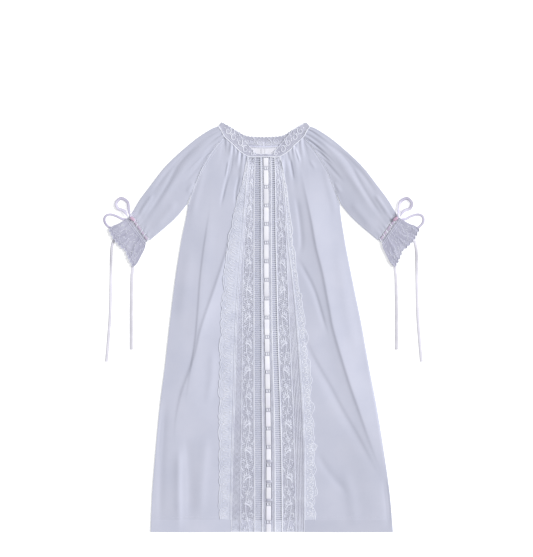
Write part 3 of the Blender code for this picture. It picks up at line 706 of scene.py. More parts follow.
def front_plan(sign):
    """Plan of a side front: the place runs from the lace panel to the side, the reach to the hem."""
    name = side_name(sign)
    hem_y = HEM_DEPTH - HALF_LENGTH + GAP
    top = joined_paths(side_path(NECK_SEAM, sign), side_path(RAGLAN_SEAM, sign), NECK_SHARE)
    inner = edge_path(lambda y: seam_x("panel_" + name, y) + sign * GAP, NECK_SEAM[0][1], hem_y)
    outer = edge_path(lambda y: seam_x("side_" + name, y), RAGLAN_SEAM[-1][1], hem_y)
    hem = straight_path(inner(1.0), outer(1.0))
    return lambda place, reach: patch_point(top, hem, inner, outer, place, reach)


def front_surface(sign):
    """Middle of a side front's cloth, as a function of place and reach."""
    plan = front_plan(sign)
    creases = CREASES_RIGHT if sign > 0 else CREASES_LEFT
    gathers = make_gathers(NECK_GATHERS, 0.01, NECK_SHARE, 0.16)

    def at(place, reach):
        place, reach = arrays(place, reach)
        points = plan(place, reach)
        width = np.abs(plan(1.0, reach)[..., 0] - plan(0.0, reach)[..., 0])
        swell = FRONT_CROWN * np.sin(np.pi * place) * smooth_step(reach / 0.15)
        ripple = 0.16 * np.sin(points[..., 0] / 9.0 + points[..., 1] / 47.0) * np.sin(points[..., 1] / 31.0)
        edge = smooth_step(place / 0.03) * smooth_step((1 - place) / 0.03)
        rise = crease_height(points, creases) + ripple
        rise = rise * edge + gather_height(gathers, place, reach, width)
        return with_height(points, FRONT_LEVEL - 0.2 + np.maximum(swell + rise, -0.55))

    return at


def make_front(sign, cloth):
    """Side front and its hem."""
    name = side_name(sign)
    surface = front_surface(sign)
    creases, layers = (CREASES_RIGHT, LAYERS_AND_SHADE_RIGHT) if sign > 0 else (CREASES_LEFT, LAYERS_AND_SHADE_LEFT)
    fine = shares(66)
    places = np.concatenate([NECK_SHARE * fine, NECK_SHARE + (1 - NECK_SHARE) * fine[1:]])
    grid = surface(places[None, :], shares(150)[:, None] ** 1.15)
    # Painted light and shade beside the creases, partly for doubled sheer cloth
    shade = crease_height(grid[..., :2], layers)
    front = add_sheet("front_cloth_" + name, grid, cloth, flip=sign < 0, shade=shade)
    top = HEM_DEPTH - HALF_LENGTH
    y = np.concatenate([[top + 0.9, top + 0.1], np.linspace(top - 1.0, -HALF_LENGTH, 8)])[:, None]
    inner = seam_x("panel_" + name, y) + sign * GAP
    place = shares(130)
    plan = points_at(inner + (seam_x("side_" + name, y) - inner) * place, y)
    swell = FRONT_CROWN * np.sin(np.pi * place)
    height = FRONT_LEVEL + np.maximum(swell + crease_height(plan, creases), -0.5)
    for row, drop in enumerate(HEM_FOLD):
        height[row] -= drop
    # The hem's painted light and shade: as on the front, and for the whole hem
    shade = crease_height(plan, layers) + HEM_SHADE[name]
    grid = with_height(plan, height)
    hem = add_sheet("hem_cloth_" + name, grid, cloth, HEM_SHELL, flip=sign < 0, shade=shade)
    return surface, stand_in(front, "front_" + name), stand_in(hem, "hem_" + name)


def centre_back_x(y):
    """The centre back seam leans with the skirt."""
    return SKIRT_LEAN * smooth_step((BACK_NECK_SEAM[0][1] - y) / (2 * HALF_LENGTH))


def make_back(sign, cloth):
    """One half of the back, flat where it rests."""
    name = side_name(sign)
    top = joined_paths(side_path(BACK_NECK_SEAM, sign), side_path(BACK_RAGLAN_SEAM, sign), NECK_SHARE)
    inner = edge_path(lambda y: centre_back_x(y) + sign * GAP / 2, BACK_NECK_SEAM[0][1], -HALF_LENGTH)
    outer = edge_path(lambda y: seam_x("side_" + name, y), BACK_RAGLAN_SEAM[-1][1], -HALF_LENGTH)
    hem = straight_path(inner(1.0), outer(1.0))
    plan = patch_point(top, hem, inner, outer, shares(60)[None, :], shares(90)[:, None])
    rise = crease_height(plan * (sign, 1), CREASES_BACK)
    back = add_sheet("back_cloth_" + name, with_height(plan, BACK_LEVEL - 0.1 + rise), cloth, flip=sign < 0)
    return stand_in(back, "back_" + name)


def sleeve_plan(sign, back):
    """Plan of one layer of a sleeve: the place runs from top fold to underside fold."""
    body_seam = BACK_RAGLAN_SEAM if back else RAGLAN_SEAM
    neck_share = BACK_SLEEVE_NECK_SHARE if back else SLEEVE_NECK_SHARE
    raglan = [(x + SEAM_SHIFT[0], y + SEAM_SHIFT[1]) for x, y in body_seam]
    raglan[-1] = SLEEVE_UNDER_FOLD[0]
    neck = [SLEEVE_TOP_FOLD[0], raglan[0]] if back else SLEEVE_NECK_SEAM
    seam = joined_paths(side_path(neck, sign), side_path(raglan, sign), neck_share)
    wrist = straight_path(*mirrored([SLEEVE_TOP_FOLD[-1], SLEEVE_UNDER_FOLD[-1]], sign))
    top_fold = side_path(SLEEVE_TOP_FOLD, sign)
    under_fold = side_path(SLEEVE_UNDER_FOLD, sign)
    return lambda place, reach: patch_point(seam, wrist, top_fold, under_fold, place, reach)


def tube_grid(top, bottom):
    """Rows of closed rings from a top layer and a bottom layer, with round folds at both edges."""
    steps = 4
    folds = []
    for edge, inward, start, end in (
        (top[:, -1], top[:, -2], top[:, -1], bottom[:, -1]), (top[:, 0], top[:, 1], bottom[:, 0], top[:, 0]),
    ):
        outward = (edge - inward) * np.array([1.0, 1.0, 0.0])
        outward = outward / np.linalg.norm(outward, axis=-1, keepdims=True)
        fold = []
        for step in range(1, steps):
            angle = np.pi * step / steps
            middle = start * (1 + math.cos(angle)) / 2 + end * (1 - math.cos(angle)) / 2
            fold.append(middle + FOLD_REACH * math.sin(angle) * outward)
        folds.append(np.stack(fold, axis=1))
    return np.concatenate([top, folds[0], bottom[:, ::-1], folds[1]], axis=1)


def make_sleeve(sign, cloth):
    """Raglan sleeve, a tube pressed flat between its top fold and its underside fold."""
    name = side_name(sign)
    upper = sleeve_plan(sign, back=False)
    gathers = make_gathers(SLEEVE_GATHERS, 0.05, 0.5, 0.55)
    wrist_gathers = make_gathers(WRIST_GATHERS, 0.06, 0.94, 0.3)
    reach = shares(84)[:, None]
    place = shares(72)[None, :]
    plan = upper(place, reach)
    width = np.linalg.norm(upper(1.0, reach) - upper(0.0, reach), axis=-1)
    swell = SLEEVE_CROWN * np.sin(np.pi * place) * smooth_step(reach / 0.2) * smooth_step((1 - reach) / 0.2)
    rise = crease_height(plan * (sign, 1), CREASES_SLEEVE)
    rise = rise + 0.72 * gather_height(gathers, place, reach, width)
    rise = rise + 0.42 * gather_height(wrist_gathers, place, 1 - reach, width)
    ends = smooth_step(place / 0.06) * smooth_step((1.0 - place) / 0.06)
    top = with_height(plan, FRONT_LEVEL + np.maximum(swell + rise, -0.5) * ends)
    low_plan = sleeve_plan(sign, back=True)(shares(30)[None, :], reach)
    bottom = with_height(low_plan, BACK_LEVEL - 0.15 + 0.25 * np.sin(low_plan[..., 0] / 11.0) ** 2)
    tube = tube_grid(top, bottom)
    # Painted shade over the whole sleeve
    shade = np.full(tube.shape[:2], SLEEVE_SHADE[name])
    sleeve = add_sheet("sleeve_cloth_" + name, tube, cloth, ring=True, flip=sign < 0, shade=shade)
    return upper, stand_in(sleeve, "sleeve_" + name)


# Lace panel

def make_net_strip(name, near, far, straight, *threads):
    """Narrow strip of net, with diagonal threads or fine tucks."""
    place = strip_place(near, far, 6.0, FRONT_LEVEL - 0.3)
    strands = Strands()
    if straight:
        add_lines_along(strands, place, np.linspace(-5.0, 5.0, 6), (0.62, 0.42), 60, tone=GROUND)
        add_net(strands, place, -6.0, 6.0, 1.2, (0.24, 0.3))
    else:
        add_net(strands, place, -6.0, 6.0, 1.1, (0.20, 0.26), lift=-0.1)
        add_net(strands, place, -6.0, 6.0, 2.5, (0.34, 0.42))
    return strands.lace(name, threads)


def make_insertion(name, near, far, mirror, *threads):
    """Wide insertion of palmettes, hooks and flowers on a net ground."""
    place = strip_place(near, far, SCROLL_HALF_WIDTH, LACE_LEVEL)
    strands = Strands()
    add_net(strands, place, -8.0, 8.0, NET_PITCH, NET_THREAD)
    add_net(strands, place, -8.0, 8.0, 2.9, (0.34, 0.36), slope=0.5)
    for half, hand in enumerate((-mirror, mirror)):
        repeats = np.arange(SCROLL_START + half * SCROLL_REPEAT, STRIP_LENGTH, 2 * SCROLL_REPEAT)
        add_pattern(strands, place, scroll_motif(hand), repeats)
    v = np.linspace(0, STRIP_LENGTH, 700)
    vine = 2.4 * mirror * np.sin(np.pi * (v - SCROLL_START) / SCROLL_REPEAT - 0.5)
    strands.band(place(vine, v, 0.05), OUTLINE_BAND)
    for edge in (-1.0, 1.0):
        strands.add(place(edge * (7.35 + 0.35 * np.cos(2 * np.pi * v / 3.2)), v, 0.1), FINE_BAND)
    return strands.lace(name, threads)


def make_ladder(name, near, far, *threads):
    """Ladder insertion: bars between two rails."""
    place = strip_place(near, far, 5.5, LACE_LEVEL)
    strands = Strands()
    bars = np.arange(1.0, STRIP_LENGTH - 1.0, LADDER_PITCH)[:, None]
    strands.band(place(np.linspace(-5.4, 5.4, 2), bars, 0.1), LADDER_BAR)
    add_lines_along(strands, place, (-4.75, 4.75), RAIL_BAND, 80, lift=0.1)
    return strands.lace(name, threads)


def make_beading(*threads):
    """Beading of the centre ribbon: net at both sides, and two bars and two knots at every crossing."""
    place = strip_place("beading_left", "beading_right", 7.4, LACE_LEVEL)
    strands = Strands()
    for near, far in ((-7.2, -4.0), (4.0, 7.2)):
        add_net(strands, place, near, far, 1.3, (0.30, 0.4), lift=0.15)
    add_net(strands, place, -4.0, 4.0, 2.0, (0.2, 0.25), lift=-0.2)
    add_lines_along(strands, place, (-6.4, -4.3, 4.3, 6.4), (0.36, 0.55), 80)
    crossings = PANEL_TOP - CROSSINGS[:, None]
    share = np.linspace(-1, 1, 9)
    arch = 1 - share ** 4
    # The bars over each crossing are drawn in the darker tone: painted shade where the ribbon passes under
    for offset in (-BAR_OFFSET, BAR_OFFSET):
        strands.band(place(4.3 * share, crossings + offset, 0.75 * arch), (0.5, 0.35), tone=SHADED)
    # Over the last crossings, a wide band in the darker tone: painted shade on the lower end of the float
    # above
    low = crossings[SHADED_CROSSINGS] - 5.6
    strands.band(place(3.9 * share, low, 1.6 * arch), (2.0, 0.4), tone=SHADED)
    for spot in (-1.7, 1.7):
        strands.band(place(spot, crossings + np.linspace(-1.7, 1.7, 5), 0.7), (1.15, 0.7), leaf_taper)
    return strands.lace("beading_centre", threads)


def make_centre_ribbon(ribbon):
    """Satin ribbon that rises in a float between two crossings and dips under the beading."""
    y = np.arange(NECKLINE - 1.0, -HALF_LENGTH, -1.0)
    marks = np.concatenate([[CROSSINGS[0] + FLOAT_LENGTH], CROSSINGS, [CROSSINGS[-1] - FLOAT_LENGTH]])
    number = np.clip(np.searchsorted(-marks, -y, side="right") - 1, 0, len(marks) - 2)
    above = marks[number] - y
    below = y - marks[number + 1]
    slack = shares(len(marks))[number]
    heights = randoms.uniform(0.85, 1.1, len(marks))[number]
    twists = randoms.uniform(-0.16, 0.16, len(marks))[number]
    arch = smooth_step((above - 1.4) / RIBBON_FALL)
    arch = arch * smooth_step((below - 1.4) / (RIBBON_FALL * (1 - 0.45 * slack)))
    arch = arch * heights * (0.72 + 0.28 * slack + 0.30 * slack * smooth_step(1 - below / 11))
    across = np.linspace(-1, 1, 11)
    middle = (seam_x("beading_left", y) + seam_x("beading_right", y)) / 2
    half = RIBBON_WIDTH / 2 * (0.86 + 0.14 * np.minimum(1, arch))
    z = FRONT_LEVEL + 0.10 + RIBBON_ARCH * arch[:, None] * (1 - 0.22 * across ** 2)
    z = z + twists[:, None] * across * arch[:, None]
    grid = points_at(middle[:, None] + half[:, None] * across, y[:, None], z)
    # Painted shade where the ribbon dips under the beading and on the lower end of each float, and a painted
    # glint that differs from float to float
    dip = 1 - smooth_step((np.minimum(above, below) - 1.0) / 3.0)
    lower = smooth_step(1 - below / 11.0)
    shade = 0.03 - (0.07 + 0.20 * slack) * dip - 0.13 * lower * (0.3 + 0.7 * slack)
    shade = shade + 0.06 * np.sin(2.4 * number) * smooth_step(arch)
    shade = np.broadcast_to(shade[:, None], z.shape)
    piece = add_sheet("satin_centre_ribbon", grid, ribbon, shell=SATIN_SHELL, shade=shade)
    return stand_in(piece, "centre_ribbon")


def make_panel_hem(cloth):
    """The turned-up end of the lace panel, a second layer behind it at the hem."""
    y = np.linspace(HEM_DEPTH - HALF_LENGTH, 0.3 - HALF_LENGTH, 6)[:, None]
    left = seam_x("panel_left", y) + 1.0
    right = seam_x("panel_right", y) - 1.0
    grid = points_at(left + (right - left) * shares(40), y, FRONT_LEVEL - 0.55)
    piece = add_sheet("panel_hem", grid, cloth, shell=0.25)
    return piece


def make_panel_seams(thread):
    """Corded seams between the lace strips, whipped with small stitches."""
    strands = Strands()
    y = np.linspace(PANEL_TOP, -HALF_LENGTH + 0.4, 110)
    stitches = np.arange(NECKLINE - 1.5, -HALF_LENGTH + 1.5, -WHIP_PITCH)[:, None]
    ends = np.array([-1.0, 1.0])
    for column in SECTION_COLUMNS[4:10]:
        strands.add(points_at(seam_x(column, y), y, FRONT_LEVEL - 0.2), SEAM_CORD, BAND_SECTION)
        whip = points_at(seam_x(column, stitches) + 0.75 * ends, stitches + 0.3 * ends, FRONT_LEVEL + 0.1)
        strands.add(whip, (0.17, 0.4))
    for column in ("panel_left", "panel_right"):
        strands.add(points_at(seam_x(column, y), y, FRONT_LEVEL - 0.1), (0.5, 0.8), BAND_SECTION)
    piece = strands.make("panel_seams", thread)
    return piece


# Frills, neckband and flounces

def uneven_wave(position, pitches, seed):
    """Sum of sines of unlike pitch, between -1 and 1, that never quite repeats."""
    shifts = np.random.default_rng(seed).uniform(0, 2 * np.pi, len(pitches))
    total = sum(np.sin(2 * np.pi * position / pitch + shift) for pitch, shift in zip(pitches, shifts))
    return total / len(pitches)


def frill_place(sign, surface):
    """Map of a frill: u runs from 0 at the panel to 1 at its edge, v down it in millimetres."""
    length = NECK_SEAM[0][1] - HEM_DEPTH + HALF_LENGTH
    seed, rise = (5, 0.45) if sign > 0 else (3, 0.28)
    fine = shares(420)
    seam = surface(0.0, fine)
    width = np.abs(seam_x("frill_" + side_name(sign), seam[:, 1]) - seam[:, 0])
    edge_place = width / np.abs(surface(1.0, fine)[:, 0] - seam[:, 0])
    levels = np.linspace(0, 1.15, 9)
    table = surface(edge_place[:, None] * levels[None, :], fine[:, None])

    def at(u, v, lift):
        u, v = arrays(u, v)
        row = np.clip(v / length, 0, 1) * (len(fine) - 1)
        column = np.clip(u / levels[1], 0, len(levels) - 1.001)
        low_row = np.minimum(row.astype(int), len(fine) - 2)
        low_column = column.astype(int)
        down = (row - low_row)[..., None]
        right = (column - low_column)[..., None]
        points = 0.0
        for next_column, part in ((0, 1 - right), (1, right)):
            for next_row, share in ((0, 1 - down), (1, down)):
                points = points + table[low_row + next_row, low_column + next_column] * share * part
        wave = uneven_wave(v, (27.0, 15.0, 9.5), seed)
        gather = uneven_wave(v, (5.5, 3.9), seed + 20)
        near_seam = np.clip(1 - u, 0, 1)
        points[..., 2] += 0.42 + lift + (0.05 + rise * wave) * u + 0.14 * gather * (0.3 + near_seam)
        points[..., 1] += 1.6 * uneven_wave(v, (31.0, 12.0), seed + 40) * u
        return points

    at.length = length
    return at


def frill_edge(v, sign):
    """How far the scalloped edge reaches, as a share of the frill's width."""
    seed = 60 if sign > 0 else 50
    pitch, depth, drift = (27.0, 0.26, 0.14) if sign > 0 else (14.0, 0.12, 0.06)
    scallop = np.abs(np.sin(np.pi * v / pitch + 1.5 * uneven_wave(v, (73.0, 41.0), seed))) ** 0.7
    return 1.0 - depth + depth * scallop + drift * uneven_wave(v, (53.0, 31.0), seed + 1)


def add_ground(node, label, place, along, across, cloth, flip, ripple, shade=None):
    """Close net that the pattern of a lace piece lies on, as a thin sheet."""
    grid = place(across, along[:, None], ripple)
    piece = add_sheet("net_" + label, grid, cloth, NET_SHELL, flip=flip, shade=shade)
    return stand_in(piece, node)


def make_frill(sign, surface, net, *threads):
    """Gathered lace frill: close net, sprigs of leaves and a scalloped edge of two bands."""
    node = "frill_" + side_name(sign)
    place = frill_place(sign, surface)
    length = place.length
    along = np.linspace(0, length, 620)
    reach = (frill_edge(along, sign) - 0.01)[:, None] * shares(13)[None, :]
    ground = add_ground(node, node, place, along, reach, net, sign < 0, -0.12)
    strands = Strands()
    v = np.linspace(0, length, 900)
    for inset, size in ((0.0, (0.60, 0.36)), (0.14, (0.34, 0.3))):
        strands.band(place(frill_edge(v, sign) - inset, v, 0.0), size)
    strands.band(place(0.08, v, 0.05), (0.5, 0.4))
    middles = np.arange(6.0, length - 7.0, SPRIG_PITCH)
    middles = (middles + randoms.uniform(-0.8, 0.8, len(middles)))[:, None]
    step = shares(6)
    for start, end, bow in (
        ((0.30, 4.6), (0.74, 0.9), 0.15), ((0.30, -4.6), (0.74, -0.9), -0.15),
        ((0.40, 0.0), (0.80, 0.0), 0.0), ((0.60, 3.6), (0.80, 5.2), 0.1), ((0.60, -3.6), (0.80, -5.2), -0.1),
        ((0.18, 1.6), (0.34, 0.2), 0.1), ((0.18, -1.6), (0.34, -0.2), -0.1),
    ):
        u = start[0] + (end[0] - start[0]) * step
        v = middles + (start[1] + (end[1] - start[1]) * step) + bow * 4 * np.sin(np.pi * step)
        strands.band(place(u, v, 0.0), (0.85, 0.42), leaf_taper)
    return [ground, strands.lace(node, threads)]


def band_place(seam_points, edge_points, sign, level, flare):
    """Map of a neckband: u from 0 at the seam to 1 at the edge, v along it from the centre."""
    seam = side_path(seam_points, sign)
    edge = side_path(edge_points, sign)

    def at(u, v, lift):
        u, v = arrays(u, v)
        share = v / seam.length
        plan = seam(share) + (edge(share) - seam(share)) * u[..., None]
        wave = 0.5 - 0.5 * np.cos(2 * np.pi * v / 11.0)
        return with_height(plan, level + lift + flare * (wave - 1.2) * u)

    at.length = seam.length
    return at


def make_neckband(part, sign, net, *threads):
    """Lace neckband of one half: close net, curls and leaves, a scalloped edge and a corded seam."""
    front = part == "front"
    level = FRONT_LEVEL - 0.1 if front else BACK_LEVEL - 0.3
    seam, edge = (FRONT_BAND_SEAM, FRONT_BAND_EDGE) if front else (BACK_BAND_SEAM, BACK_BAND_EDGE)
    place = band_place(seam, edge, sign, level, 0.55 if front else 0.0)
    length = place.length

    def edge_at(v):
        return 0.92 + 0.08 * np.abs(np.sin(np.pi * v / 5.5))

    along = np.linspace(0, length, 150)
    reach = edge_at(along)[:, None] * shares(9)[None, :]
    node = "neckband_" + part + "_" + side_name(sign)
    shade = np.zeros_like(reach) if front else 0.5 * smooth_step((0.62 - reach) / 0.25)
    ground = add_ground(node, node, place, along, reach, net, sign > 0, -0.08, shade)
    strands = Strands()
    v = np.linspace(0, length, 200)
    strands.band(place(edge_at(v), v, 0.0), (0.5, 0.5))
    for number, middle in enumerate(np.arange(6.0, length - 4.0, 12.4)):
        hand = 1.0 if number % 2 else -1.0
        width = np.linalg.norm(place(1.0, middle, 0.0) - place(0.0, middle, 0.0))
        if width < 5.0:
            continue
        size = min(1.0, width / 14.0)
        centre = 0.52 + 0.05 * hand
        curl = circle_line((0.0, 0.0), 4.9 * size, 0.5 * np.pi, 1.2 * hand, 24, end_radius=1.5 * size)
        strands.band(place(centre + curl[:, 1] / width, middle + curl[:, 0], 0.1), (0.85, 0.6), curl_taper)
        for angle in (-60, 0, 60, 120, 180, 240):
            direction = np.array([math.cos(math.radians(angle)), math.sin(math.radians(angle))])
            ray = np.linspace(5.6, 8.2, 5)[:, None] * direction * size
            u = centre + ray[:, 1] / width
            reached = middle + ray[:, 0]
            if u.min() > 0.16 and u.max() < 0.88 and reached.min() > 0.5 and reached.max() < length:
                strands.band(place(u, reached, 0.08), (0.95, 0.5), leaf_taper)
    strands.band(place(0.0, v, 0.1), (1.0, 1.15))
    strands.band(place(0.14, v, 0.05), (0.3, 0.5))
    if not front:
        fine = np.arange(0.4, length - 0.4, 0.4)
        for shift in (0.0, 1.6):
            zigzag = 0.32 + 0.14 * (2 * np.abs(((fine + shift) / 3.2) % 1.0 - 0.5) * 2 - 1)
            strands.band(place(zigzag, fine, 0.05), (0.42, 0.4))
    return [ground, strands.lace(node, threads)]


def make_flounce(sign, net, *threads):
    """Gathered lace flounce: two layers that flare from the wrist to a scalloped edge."""
    node = "flounce_" + side_name(sign)
    top_fold, under_fold, edge = (
        side_path(points, sign) for points in (FLOUNCE_TOP_FOLD, FLOUNCE_UNDER_FOLD, FLOUNCE_EDGE)
    )
    start = straight_path(top_fold(0.0), under_fold(0.0))

    def edge_at(share):
        return 0.94 + 0.06 * np.abs(np.sin(np.pi * share * 11))

    strands = Strands()
    pieces = []
    along = shares(150)
    fine = shares(220)
    small = shares(6)
    for layer, level, waves in (("under_", FRONT_LEVEL - 0.2, 0.25), ("upper_", TRIM_LEVEL - 0.1, 1.0)):

        def place(reach, share, lift, level=level, waves=waves):
            reach, share = arrays(reach, share)
            plan = patch_point(start, edge, top_fold, under_fold, 0.02 + 0.96 * share, reach)
            bend = 2.4 * np.sin(5.0 * reach + 9.0 * share) + 1.1 * np.sin(11.0 * reach - 7.0 * share)
            ripple = 0.5 + 0.75 * uneven_wave(share * 60.0 + bend, (7.9, 13.7, 5.3, 23.0), 7)
            return with_height(plan, level + lift + waves * ripple * (0.45 + 0.55 * reach))

        label = "flounce_" + layer + side_name(sign)
        reach = edge_at(along)[:, None] * shares(16)[None, :]
        pieces.append(add_ground(node, label, place, along, reach, net, sign > 0, -0.1))
        for inset, size in ((0.0, (0.6, 0.5)), (0.12, (0.35, 0.35)), (0.2, (0.3, 0.3))):
            strands.band(place(edge_at(fine) - inset, fine, 0.0), size)
        if layer == "upper_":
            for row in (0.05, 0.13):
                strands.band(place(row, fine, 0.05), (0.4, 0.4))
        ranges = ((0.04, 0.96), (0.16, 0.76), (-0.06, 0.06), (0.07, 0.16))
        leaves = [randoms.uniform(low, high, FLOUNCE_LEAVES) for low, high in ranges]
        for middle, first, lean, long in zip(*leaves):
            leaf = place(first + long * small, np.clip(middle + lean * small, 0.02, 0.98), 0.0)
            strands.band(leaf, (0.5, 0.34), leaf_taper)
    return pieces + [strands.lace(node, threads)]


# Wrists and bows

def wrist_lines(sign):
    """Inner and outer line of the beading band at a wrist, from top fold to underside fold."""
    top = np.array(SLEEVE_TOP_FOLD[-1])
    under = np.array(SLEEVE_UNDER_FOLD[-1])
    along = (under - top) / np.linalg.norm(under - top)
    outward = np.array([-along[1], along[0]])
    mirror = np.array([sign, 1.0])
    inner = [(top + GAP * outward) * mirror, (under + GAP * outward) * mirror]
    outer = [point + (WRIST_BAND_WIDTH - GAP) * outward * mirror for point in inner]
    return np.array(inner), np.array(outer)


def make_wrist(sign, ribbon, *threads):
    """Beading at the wrist, on both layers, and the ribbon drawn through the upper one."""
    name = side_name(sign)
    inner, outer = wrist_lines(sign)

    def place(u, v, lift):
        u, v = arrays(u, v)
        start = inner[0] + (outer[0] - inner[0]) * u[..., None]
        end = inner[1] + (outer[1] - inner[1]) * u[..., None]
        return with_height(start + (end - start) * v[..., None], lift)

    strands = Strands()
    bars = np.arange(0.02, 0.99, 0.028)[:, None]
    slots = np.linspace(0.03, 0.97, 6) + np.array([0.0, 0.02, -0.02, 0.03, -0.01, 0.0])
    across = np.linspace(0.02, 0.98, 7)
    small = np.linspace(0.02, 0.98, 120)
    for level in (BACK_LEVEL - 0.3, FRONT_LEVEL):
        for u in (0.06, 0.24, 0.76, 0.94):
            strands.band(place(u, shares(40), level), (0.42, 0.5))
        for near, far in ((0.06, 0.24), (0.76, 0.94)):
            strands.add(place((near, far), bars, level), (0.3, 0.4))
        lift = level if level < FRONT_LEVEL else level + 1.1 * (1 - (2 * (across - 0.5)) ** 4)
        strands.band(place(across, slots[:, None] + 0.05 * (across - 0.5), lift), (1.0, 0.45))
        for edge in (-0.16, 1.16):
            loops = edge + 0.13 * np.sin(small * 75.0 + 2.0 * np.sin(small * 17.0))
            strands.band(place(loops, small, level + 0.1), (0.36, 0.4))
    beading = strands.lace("wrist_beading_" + name, threads)
    v = np.linspace(0.01, 0.99, 120)[:, None]
    arch = np.sin(np.pi * (((v - 0.03) / 0.188) % 1.0)) ** 0.6
    u = np.linspace(0.2, 0.8, 9)
    grid = place(u, v, FRONT_LEVEL + 0.5 + 0.9 * arch * (1 - 0.3 * ((u - 0.5) / 0.3) ** 2))
    band = add_sheet("satin_wrist_ribbon_" + name, grid, ribbon, shell=SATIN_SHELL, flip=sign > 0)
    return beading, stand_in(band, "wrist_ribbon_" + name)


def make_bow_ribbon(name, route, sign, ribbon, tilt, fullness, pinch_end, tones, edge_shade):
    """Flat satin ribbon along a smooth route, narrowed where it comes out of the knot.

    Tones are pairs of a share of its length and how much paler or darker the ribbon is painted there, as
    painted sheen and shade.
    """
    path = side_path(route, sign)
    share = shares(int(path.length / 1.2))
    middle = path(share)
    tangents = np.gradient(middle, axis=0)[:, :2]
    tangents = tangents / np.linalg.norm(tangents, axis=1, keepdims=True)
    width = np.minimum(BOW_RIBBON_WIDTH * fullness, PINCHED_WIDTH + RIBBON_PINCH * share * path.length)
    if pinch_end:
        width = np.minimum(width, PINCHED_WIDTH + RIBBON_PINCH * (1 - share) * path.length)
    rising = sign * math.sin(tilt)
    aside = points_at(-tangents[:, 1] * math.cos(tilt), tangents[:, 0] * math.cos(tilt), rising)
    across = np.linspace(-0.5, 0.5, 9)
    grid = middle[:, None, :] + aside[:, None, :] * (width[:, None] * across)[..., None]
    curl = 0.10 * uneven_wave(share * path.length, (38.0, 23.0), len(name))
    grid[..., 2] += np.maximum(0.0, 0.3 + curl)[:, None] * (1 - 3.0 * across ** 2) - 0.25
    # Painted sheen along the ribbon, the tones' painted sheen and shade, a painted highlight in the middle
    # and painted shade at both edges
    shine = 0.03 * uneven_wave(share * path.length, (27.0, 15.0), len(name) + sign)
    shine = shine + np.interp(share, *zip(*tones))
    shade = 0.10 + shine[:, None] - edge_shade * smooth_step((np.abs(across) - 0.22) / 0.22)
    return add_sheet(name, grid, ribbon, shell=0.18, shade=shade), middle


def make_knot(sign, satin):
    """Small pressed knot, wrapped with two turns of ribbon."""
    turn = math.atan2(KNOT_RADII[1], KNOT_RADII[0])
    rows, columns = 40, 64
    down = np.linspace(0.02, math.pi - 0.02, rows)[:, None]
    around = np.linspace(0, 2 * math.pi, columns, endpoint=False)[None, :]
    x = np.cos(down) * np.ones_like(around)
    y = np.sin(down) * np.cos(around)
    z = np.sin(down) * np.sin(around)
    wrap = np.abs(np.sin(2.5 * math.pi * (x + 0.25 * y) + 0.6))
    swell = (0.80 + 0.16 * wrap ** 0.6) * (0.80 + 0.20 * np.abs(x))
    swell = swell + 0.05 * np.sin(11 * around + 3 * x) * np.sin(down)
    x = x * KNOT_RADII[0]
    y = y * KNOT_RADII[1] * swell
    turned = points_at(
        sign * (KNOT_PLACE[0] + x * math.cos(turn) - y * math.sin(turn)),
        KNOT_PLACE[1] + x * math.sin(turn) + y * math.cos(turn), KNOT_PLACE[2] + z * KNOT_RADII[2] * swell,
    )
    points = np.vstack([turned.reshape(-1, 3), turned[0].mean(axis=0), turned[-1].mean(axis=0)])
    faces = grid_faces(rows, columns, ring=True)
    first, last = rows * columns, rows * columns + 1
    for column in range(columns):
        following = (column + 1) % columns
        faces.append([first, column, following])
        faces.append([last, (rows - 1) * columns + following, (rows - 1) * columns + column])
    if sign > 0:
        faces = [face[::-1] for face in faces]
    knot = add_piece("satin_knot_" + side_name(sign), points, faces, satin)
    return stand_in(knot, "knot_" + side_name(sign))


def make_bow(sign, ribbon, loop_shade_satin, pink):
    """Bow at the wrist: knot, two loops and two loose ends."""
    make_knot(sign, pink)
    # The loops take the darker satin, painted shade
    for label, route, tilt, far_end, satin, fullness, tones, edge_shade in (
        ("loop_upper_", UPPER_LOOP, LOOP_TILT, "object", loop_shade_satin, 0.95, LOOP_TONES, 0.34),
        ("loop_lower_", LOWER_LOOP, 0.0, "object", loop_shade_satin, 0.7, LOOP_TONES, 0.34),
        ("tail_outer_", OUTER_TAIL, 0.0, "bare", ribbon, 0.85, OUTER_TAIL_TONES, 0.34),
        ("tail_inner_", INNER_TAIL, 0.0, "bare", ribbon, 0.97, INNER_TAIL_TONES, 0.06),
    ):
        node = label + side_name(sign)
        pinched = far_end == "object"
        piece, middle = make_bow_ribbon(
            "satin_" + node, route, sign, satin, tilt, fullness, pinched, tones, edge_shade,
        )
        stand_in(piece, node)


# Sewing

def stitch_line(strands, points, lift, dash=STITCH_LENGTH):
    """Running stitches along points in space."""
    path = smooth_path(points, pieces=2)
    count = int(path.length / (dash * 1.35))
    starts = np.arange(count) / count
    share = starts[:, None] + np.array([0.0, dash / path.length])[None, :]
    line = path(share)
    line[..., 2] += lift
    strands.add(line, STITCH_THREAD)


